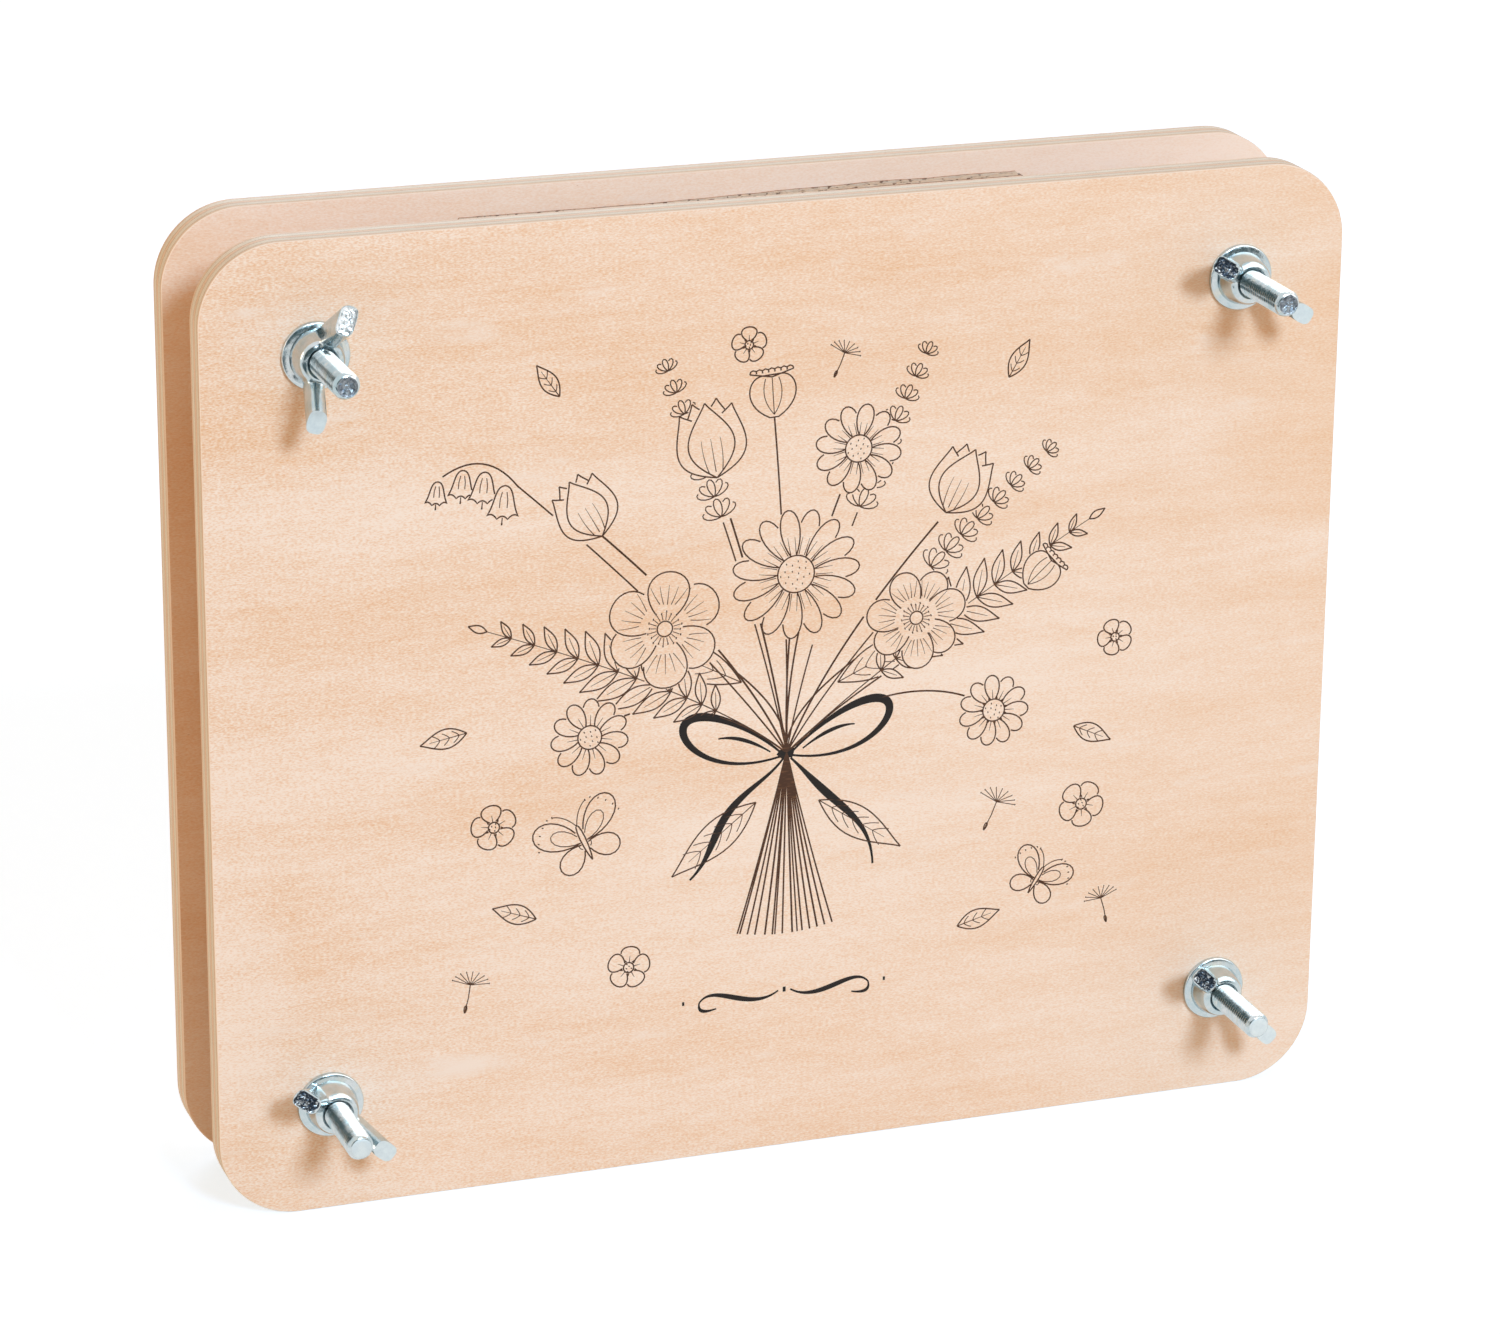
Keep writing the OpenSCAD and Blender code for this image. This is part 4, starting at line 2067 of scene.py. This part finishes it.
@dataclass
class FlowerDrawing:
    """A printed bunch of garden flowers, tied with a ribbon, on the front board."""

    places: PressPlaces
    ink_h: float = 0.03 * MM
    pen_share: float = 0.85
    tie: Point = (0.0, -13.0)

    def stem(self, head: Point, bow: float, foot: float) -> list[Point]:
        """A stem that comes up through the tie.

        Args:
            head: Where it ends.
            bow: How far it bends sideways.
            foot: Where its cut end is, along X.

        Returns:
            Its points, from the foot to the head.
        """
        tx, ty = self.tie
        foot_at = (foot, ty - 36 + 0.012 * foot * foot)
        low = bent(foot_at, (foot * 0.35, ty - 14), (tx + foot * 0.02, ty), steps=14)
        rise = head[1] - ty
        way = [(tx - foot * 0.5 + bow, ty + rise * 0.45)]
        if rise < 15:
            way = [(head[0] * 0.38, ty + 13), (head[0] * 0.8, head[1] + 7)]
        high = bent((tx + foot * 0.02, ty), *way, head, steps=30)
        return low + high[1:]

    def ribbon(self) -> Motif:
        """The ribbon's bow, in broad brush strokes.

        Returns:
            The motif.
        """
        bow = Motif()
        knot = [(-1.3, -13.6), (-0.4, -12.4), (1.4, -13.0)]
        bow.brush(bent(*knot, steps=8), 2.2, 2.7)
        loop_knots = ((1, -12.8), (11, -3), (26, 2.5), (25, -8), (17, -17), (1, -13.4))
        fold_knots = ((3.2, -12.3), (9, -8.2), (13.5, -8.6))
        for side in (-1, 1):
            loop = bent(*flipped(loop_knots, side), steps=40)
            bow.brush(loop, 0.5, 2.0, 0.36)
            bow.brush(bent(*flipped(fold_knots, side), steps=14), 0.35, 0.9)
            bow.covers.append(loop)
        left_tail = ((-0.6, -13.8), (-5, -20), (-16, -21), (-12, -30), (-19, -36))
        right_tail = ((0.8, -13.9), (6, -19), (9, -25), (17, -26), (17.5, -37))
        for tail, peak in ((left_tail, 0.62), (right_tail, 0.4)):
            bow.brush(bent(*tail, steps=34), 0.5, 1.9, peak)
        return bow

    def flourish(self) -> Motif:
        """A small pair of scrolls under the bunch.

        Returns:
            The motif.
        """
        scroll = Motif()
        sweep = ((1.2, -60.5), (7, -64.5), (14, -57), (17, -61))
        curl = ((17, -61), (17.6, -63.6), (13.6, -62.6))
        for side in (-1, 1):
            scroll.brush(bent(*flipped(sweep, side), steps=24), 0.4, 1.2, 0.45)
            scroll.brush(bent(*flipped(curl, side), steps=10), 0.35, 0.8)
            scroll.dot((side * 20.2, -60.8), 0.9)
        scroll.dot((0, -60.4), 1.2)
        return scroll

    def bunch(self) -> Motif:
        """The bunch and what lies around it, front pieces first.

        Returns:
            The drawing without the ribbon and the scrolls.
        """
        art = Motif([], [list(cover) for cover in self.ribbon().covers])
        stems = Motif()
        for flower, turn, at, bow, foot, width in (
            (daisy(12.5, 15, 3.6), 8, (1.5, 22.0), 1.0, 3.5, 0.42),
            (anemone(11.5), -6, (-24.0, 14.0), 3.0, 5.0, 0.42),
            (anemone(10.0, 7), 22, (25.5, 11.0), -4.0, -6.0, 0.42),
            (daisy(8.5, 12, 2.6), -12, (13.5, 45.0), -2.0, -2.5, 0.42),
            (daisy(7.5, 11, 2.3, 1), 30, (-38.5, -5.5), 8.0, 8.0, 0.42),
            (daisy(7.0, 11, 2.2, 1), 5, (41.5, -9.0), -8.0, -9.0, 0.42),
            (tulip(14.5), 10, (-14.0, 42.0), -3.0, 1.5, 0.46),
            (tulip(13.0), -26, (31.0, 31.0), 6.0, -4.0, 0.46),
            (tulip(12.5), 30, (-36.0, 33.0), -6.0, 6.5, 0.46),
            (seed_head(8.5), 4, (-3.0, 52.5), 0.0, -0.5, 0.4),
            (seed_head(7.5), -48, (47.5, 15.0), 10.0, -7.5, 0.4),
        ):
            art.add(flower, turn, at)
            stems.pen(self.stem(at, bow, foot), width)
        for at, bow, foot in (
            ((-23.5, 63.0), -6, 2.5),
            ((26.5, 62.0), 5, -2.0),
            ((51.0, 41.0), 12, -6.0),
        ):
            art.add(lavender(self.stem(at, bow, foot), 8, 0.76, 3.6))
        art.add(frond(self.stem((-58.0, 17.0), -10, 9.5), 12, 0.56, 9.5, 58))
        art.add(frond(self.stem((60.0, 27.0), 16, -9.5), 12, 0.58, 9.0, 58))
        art.add(self.bells())
        for size, width, turn, at in (
            (21, 6.5, 128, (-6.0, -22.0)),
            (20, 6.0, -124, (6.5, -23.0)),
            (22, 6.5, 62, (-9.0, 2.0)),
            (21, 6.5, -66, (10.0, 0.0)),
        ):
            art.add(leaf(size, width, 5), turn, at)
        art.add(stems)
        self.scatter(art)
        return art

    def bells(self) -> Motif:
        """An arching stem of bell-shaped flowers on the left.

        Returns:
            The motif.
        """
        motif = Motif()
        stem = self.stem((-52.0, 44.0), -14, 8.0)
        arch = bent(stem[-1], (-58.0, 52.0), (-66.0, 47.0), steps=14)
        whole = stem + arch[1:]
        for share, size in ((0.78, 6.0), (0.85, 5.6), (0.92, 5.0), (0.995, 4.2)):
            at, _ = along(whole, share)
            motif.add(bell(size), -6, (at[0] - 1.2, at[1] - 1.0))
        line = Motif()
        line.pen(whole, 0.38)
        motif.add(line)
        return motif

    def scatter(self, art: Motif) -> None:
        """Lay loose blossoms, leaves and seeds around the bunch.

        Args:
            art: The drawing so far.
        """
        for size, turn, at in (
            (4.4, 10, (-57.0, -21.0)),
            (4.6, 40, (60.0, -30.0)),
            (4.2, 65, (-31.0, -52.0)),
            (3.6, 20, (66.0, 3.0)),
            (3.4, 0, (-8.0, 66.5)),
        ):
            art.add(daisy(size, 5, size * 0.24, 1), turn, at)
        for size, turn, at in (
            (9, 100, (-62.0, -2.0)),
            (8.5, -115, (58.0, -14.0)),
            (9, 70, (-49.0, -40.0)),
            (9, -75, (35.0, -52.0)),
            (8, -30, (43.0, 56.0)),
            (7.5, 35, (-44.0, 60.0)),
        ):
            art.add(leaf(size, size * 0.42, 3), turn, at)
        for size, turn, at in (
            (8, -25, (40.0, -33.0)),
            (7, 14, (66.0, -55.0)),
            (7.5, -12, (-63.0, -57.0)),
            (6.5, -24, (8.5, 59.0)),
        ):
            art.add(drifting_seed(size), turn, at)
        art.add(butterfly(12.5), 24, (-38.0, -29.5))
        art.add(butterfly(9.5), -32, (49.5, -47.0))

    def printed(self, motif: Motif, name: str, finish: Material) -> Object:
        """Print a motif on the board as thin raised lines.

        Args:
            motif: The motif.
            name: Name of the piece.
            finish: Its ink.

        Returns:
            The piece.
        """
        curve = bpy.data.curves.new(name, "CURVE")
        curve.dimensions = "3D"
        curve.bevel_depth = 0.5 * MM
        curve.bevel_resolution = 0
        curve.use_fill_caps = True
        for line in motif.lines:
            spline = curve.splines.new("POLY")
            spline.points.add(len(line.points) - 1)
            for spot, (x, y), width in zip(spline.points, line.points, line.widths):
                spot.co = (x * MM, 0, y * MM, 1)
                spot.radius = width * self.pen_share
        drawn = bpy.data.objects.new(name, curve)
        bpy.context.scene.collection.objects.link(drawn)
        bm = settled(drawn)
        for vert in bm.verts:
            vert.co.y = max(-self.ink_h, min(self.ink_h, vert.co.y * 0.5))
        bm.transform(Matrix.Translation((0, self.places.front_face_y, MIDDLE_Z)))
        piece = finished(bm, name, [finish])
        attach(piece, "front_frame")
        return piece

    def build(self) -> list[Object]:
        """Print the whole drawing.

        Returns:
            The fine lines and the brush strokes.
        """
        fine = InkFinish("fine_line_ink", screen(74, 48, 34), screen(120, 84, 60)).build()
        bold = InkFinish("ribbon_ink", screen(30, 24, 22), screen(52, 42, 36)).build()
        strokes = self.ribbon()
        strokes.lines += self.flourish().lines
        return [
            self.printed(self.bunch(), "flower_drawing", fine),
            self.printed(strokes, "ribbon_drawing", bold),
        ]


@dataclass(frozen=True)
class SoftBox:
    """A round lamp: where it hangs, how wide and how strong it is, and its colour."""

    name: str
    at: Triple
    size: float
    power: float
    colour: Triple


@dataclass(frozen=True)
class Flag:
    """A dark panel, upright or on the floor, from its lowest corner to its highest."""

    name: str
    low: Triple
    high: Triple


@dataclass
class Studio:
    """The white studio: floor, lamps, daylight and camera."""

    floor_size: float = 12.0
    camera_yaw: float = 19.672
    camera_pitch: float = 18.892
    camera_roll: float = -0.448
    camera_distance: float = 0.9694
    aim: Triple = (-7.37 * MM, -7.4 * MM, 97.34 * MM)
    focal_pixels: float = 5245.0
    photo_width: float = 1500.0
    sensor: float = 36.0
    lamp_aim: Triple = (0.0, 0.0, 0.09)
    soft_boxes: tuple[SoftBox, ...] = (
        SoftBox("key_light", (0.53, -3.3, 1.98), 0.92, 98, (0.59, 0.815, 0.993)),
        SoftBox("left_light", (-2.6, 0.4, 0.8), 1.2, 15, (1.0, 0.82, 0.64)),
        SoftBox("back_light", (0.8, 3.4, 1.25), 1.4, 72, (0.70, 0.86, 0.99)),
    )
    flags: tuple[Flag, ...] = (
        Flag("left_flag", (-2.4, -1.75, 0.05), (-0.25, -1.75, 1.7)),
        Flag("right_flag", (-0.25, -1.75, 0.05), (1.6, -1.75, 0.7)),
        Flag("floor_flag", (-1.1, -0.95, 0.002), (-0.17, -0.2, 0.002)),
    )
    bright_card_at: Triple = (1.4, -1.25, 1.95)
    bright_card_half: float = 1.5
    bright_card_glow: float = 2.4

    def seen(self, bench: Bench) -> NodeSocket:
        """1 for what the camera, a reflection or a glass sees, and 0 for light.

        Args:
            bench: The material or world that asks.

        Returns:
            The value's socket.
        """
        path = bench.add("LightPath", {})
        glossy = bench.sum("MAXIMUM", path.outputs["Is Camera Ray"], path.outputs["Is Glossy Ray"])
        return bench.sum("MAXIMUM", glossy, path.outputs["Is Transmission Ray"])

    def floor(self) -> None:
        """Lay the floor.

        It throws a warm light on the press, looks white with a faint shadow to the camera,
        and is a plain white in reflections.
        """
        bench = Bench("studio_floor")
        lit = bench.add("BsdfDiffuse", {"Color": (0.90, 0.845, 0.75, 1)})
        faint = bench.add("BsdfDiffuse", {"Color": (0.45, 0.5, 0.66, 1)})
        glow = bench.add("Emission", {"Color": (0.896, 0.976, 1, 1), "Strength": 0.75})
        shaded = bench.add("AddShader", {0: faint.outputs[0], 1: glow.outputs[0]})
        mirrored = bench.add("Emission", {"Color": (1, 0.985, 0.97, 1), "Strength": 1.06})
        camera = bench.add("LightPath", {}).outputs["Is Camera Ray"]
        white = bench.choose(camera, mirrored, shaded)
        bench.show(bench.choose(self.seen(bench), lit, white))
        bm = bmesh.new()
        half = self.floor_size / 2
        place = Matrix.Translation((0, 0, -0.05 * MM))
        bmesh.ops.create_grid(bm, x_segments=2, y_segments=2, size=half, matrix=place)
        piece = finished(bm, "studio_floor", [bench.made])

    def daylight(self) -> None:
        """Set the world: white to look at, and soft light all round."""
        bench = Bench("studio_world", world=True)
        soft = bench.add("Background", {"Color": (1.0, 0.575, 0.225, 1), "Strength": 0.49})
        white = bench.add("Background", {"Color": (1, 1, 1, 1), "Strength": 1.0})
        bench.show(bench.choose(self.seen(bench), soft, white))
        bpy.context.scene.world = bench.made

    def lamp(self, box: SoftBox) -> None:
        """Hang one soft box.

        Args:
            box: The soft box.
        """
        light = bpy.data.lights.new(box.name, "AREA")
        light.shape = "DISK"
        light.size = box.size
        light.energy = box.power
        light.color = box.colour
        lamp = bpy.data.objects.new(box.name, light)
        lamp.location = box.at
        ray = Vector(self.lamp_aim) - Vector(box.at)
        lamp.rotation_euler = ray.to_track_quat("-Z", "Y").to_euler()
        bpy.context.scene.collection.objects.link(lamp)

    def card(self, name: str, place: Matrix, glow: float = 0.0) -> None:
        """Place one card in front, which only the metal reflects.

        Args:
            name: Its name.
            place: Its place, turn and half sizes.
            glow: How bright it is: 0 for a dark card.
        """
        bench = Bench(name)
        if glow:
            bench.show(bench.add("Emission", {"Color": (1, 1, 1, 1), "Strength": glow}))
        else:
            bench.surface((0.05, 0.1, 0.12, 1), 0.9)
        bm = bmesh.new()
        bmesh.ops.create_grid(bm, x_segments=2, y_segments=2, size=1.0, matrix=place)
        piece = finished(bm, name, [bench.made])
        piece.visible_camera = False
        piece.visible_diffuse = False
        piece.visible_shadow = False

    def cards(self) -> None:
        """Place the cards that give the metal its dark lines and its highlights."""
        for flag in self.flags:
            low, high = Vector(flag.low), Vector(flag.high)
            half = (high - low) / 2
            upright = Matrix.Rotation(math.pi / 2 if half.z else 0, 4, "X")
            size = Matrix.Diagonal((half.x, half.z or half.y, 1, 1))
            self.card(flag.name, Matrix.Translation((low + high) / 2) @ upright @ size)
        at = Vector(self.bright_card_at)
        turn = (Vector(self.lamp_aim) - at).to_track_quat("-Z", "Y").to_matrix().to_4x4()
        size = Matrix.Diagonal((self.bright_card_half, self.bright_card_half, 1, 1))
        place = Matrix.Translation(at) @ turn @ size
        self.card("bright_card", place, self.bright_card_glow)

    def camera(self) -> None:
        """Set the camera at the photograph's viewing angle."""
        yaw = Matrix.Rotation(-math.radians(self.camera_yaw), 3, "Z")
        pitch = Matrix.Rotation(-math.radians(self.camera_pitch), 3, "X")
        roll = Matrix.Rotation(math.radians(self.camera_roll), 3, "Y")
        turn = yaw @ pitch @ roll
        right, ahead, up = turn.col[0], turn.col[1], turn.col[2]
        eye = Vector(self.aim) - ahead * self.camera_distance
        lens = bpy.data.cameras.new("photo_camera")
        lens.sensor_fit = "HORIZONTAL"
        lens.sensor_width = self.sensor
        lens.lens = self.focal_pixels / self.photo_width * self.sensor
        lens.clip_start = 0.05
        lens.clip_end = 60
        camera = bpy.data.objects.new("photo_camera", lens)
        axes = Matrix((right, up, -ahead)).transposed().to_4x4()
        camera.matrix_world = Matrix.Translation(eye) @ axes
        bpy.context.scene.collection.objects.link(camera)
        bpy.context.scene.camera = camera

    def build(self) -> None:
        """Set up the whole studio."""
        self.camera()
        self.floor()
        self.daylight()
        for box in self.soft_boxes:
            self.lamp(box)
        self.cards()
        bpy.context.scene.view_settings.view_transform = "Standard"


@dataclass
class FlowerPress:
    """The whole press, built sub-assembly by sub-assembly."""

    places: PressPlaces
    nut_turns: dict[Corner, float] = field(
        default_factory=lambda: {
            Corner.TOP_LEFT: 72.0,
            Corner.TOP_RIGHT: 148.0,
            Corner.BOTTOM_RIGHT: 136.0,
            Corner.BOTTOM_LEFT: 141.0,
        }
    )
    # Painted reflections of light from the two left nuts on the front veneer.
    nut_reflections: tuple[Patch, ...] = (
        patch_mm(-61.5, 165.5, 8, 3),
        patch_mm(-64, 25, 14, 3),
    )
    # The veneer's own level bands, followed by patches of painted light.
    bands_and_painted_light: tuple[Patch, ...] = (
        patch_mm(-80, 132, 75, 14, 0.3),
        patch_mm(35, 91, 100, 13, 0.34),
        patch_mm(-95, 87, 55, 12, 0.3),
        patch_mm(-10, 55, 95, 22, 0.28),
        patch_mm(20, 135, 70, 25, 0.18),
        patch_mm(112, 140, 32, 30, -0.24),
        patch_mm(112, 45, 26, 34, -0.05),
        patch_mm(65, 108, 75, 10, 0.2),
        # Painted light: these two patches make the left and the lower left paler.
        patch_mm(-108, 48, 14, 26, 0.3),
        patch_mm(-110, 102, 13, 24, 0.12),
    )
    # Painted light: the back board's inner face is paler along its top.
    painted_light_rim: Patch = patch_mm(0, 186, 260, 26, 0.24)
    card_count: int = 6
    blotter_count: int = 10

    def boards(self) -> list[Object]:
        """Build both boards.

        Returns:
            The boards.
        """
        p = self.places
        front = Board(
            "front_board",
            "front_frame",
            p,
            VeneerFinish("front_veneer", tones=self.bands_and_painted_light, nut_reflections=self.nut_reflections),
            PlyEdgeFinish("front_ply_edge", p.front_face_y, p.stack_front_y),
            hole_d=6.0 * MM,
        )
        back = Board(
            "back_board",
            "back_frame",
            p,
            VeneerFinish("back_veneer", (5.3, 2.1, 8.7), contrast=0.5, tones=(self.painted_light_rim,)),
            PlyEdgeFinish("back_ply_edge", p.stack_back_y, p.head_seat_y),
            hole_d=5.4 * MM,
            socket_w=5.3 * MM,
        )
        return [front.build(), back.build()]

    def hardware(self) -> list[Object]:
        """Build the bolts, washers and wing nuts.

        Returns:
            The pieces, corner by corner.
        """
        zinc = ZincFinish("bright_zinc").build()
        cut = CutZincFinish("cut_zinc").build()
        # Dark zinc for the painted dark reflection on one face of the plain wing.
        side = ZincFinish(
            "dark_reflection_zinc",
            cool=(0.16, 0.23, 0.25, 1.0),
            neutral=(0.27, 0.34, 0.36, 1.0),
            straw=(0.34, 0.36, 0.34, 1.0),
            shine=(0.3, 0.45),
        ).build()
        pitted = ShearedZincFinish("pitted_zinc").build()
        smeared = ShearedZincFinish(
            "smeared_zinc",
            dark=(0.2, 0.24, 0.27, 1.0),
            bright=(0.9, 0.93, 0.95, 1.0),
            crests=(0.36, 0.42),
            grain=650,
        ).build()
        punched = ShearedZincFinish(
            "punched_zinc",
            dark=(0.15, 0.17, 0.2, 1.0),
            bright=(0.46, 0.5, 0.53, 1.0),
            crests=(0.4, 0.7),
        ).build()
        torn = {TornEnd.PITTED: pitted, TornEnd.SMEARED: smeared}
        tips = {TipEnd.DIMPLED: punched, TipEnd.FLAT: cut}
        pieces = []
        for corner in Corner:
            top = corner.value[1] > 0
            tip_end = TipEnd.DIMPLED if top else TipEnd.FLAT
            bolt = CarriageBolt(corner, self.places, tip_end, zinc, tips[tip_end])
            pieces.append(bolt.build())
            pieces.append(Washer(corner, self.places, zinc).build())
            torn_end = TornEnd.SMEARED if corner is Corner.TOP_LEFT else TornEnd.PITTED
            finishes = (zinc, torn[torn_end], cut, side)
            dark_reflection_side = -1 if corner is Corner.TOP_LEFT else 1
            nut = WingNut(corner, self.places, self.nut_turns[corner], *finishes, dark_reflection_side)
            pieces.append(nut.build())
        return pieces

    def stack(self) -> list[Object]:
        """Build the cards and the blotting sheets.

        Returns:
            The cards and the sheets.
        """
        card = CardFinish("kraft_card").build()
        # Darker kraft with a painted contact shadow, for the rear liner's edges where the stack
        # meets the back board.
        rim = CardFinish(
            "kraft_edge_shadow_card",
            plain=screen(176, 122, 88),
            dark=screen(120, 76, 50),
            light=screen(206, 160, 124),
        ).build()
        paper = BlotterFinish("blotting_paper").build()
        pieces = [CorrugatedCard(i + 1, card, rim).build() for i in range(self.card_count)]
        pieces += [BlottingSheet(i + 1, paper).build() for i in range(self.blotter_count)]
        return pieces

    def drawing(self) -> list[Object]:
        """Print the drawing on the front board."""
        return FlowerDrawing(self.places).build()


def main() -> None:
    """Build the studio and the press, and report each piece."""
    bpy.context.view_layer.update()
    Studio().build()
    press = FlowerPress(PressPlaces.measured())
    for group in (press.boards, press.hardware, press.stack, press.drawing):
        for piece in group():
            log.info("%s: %d faces", piece.name, len(piece.data.polygons))


if __name__ == "__main__":
    logging.basicConfig(level=logging.INFO)
    main()
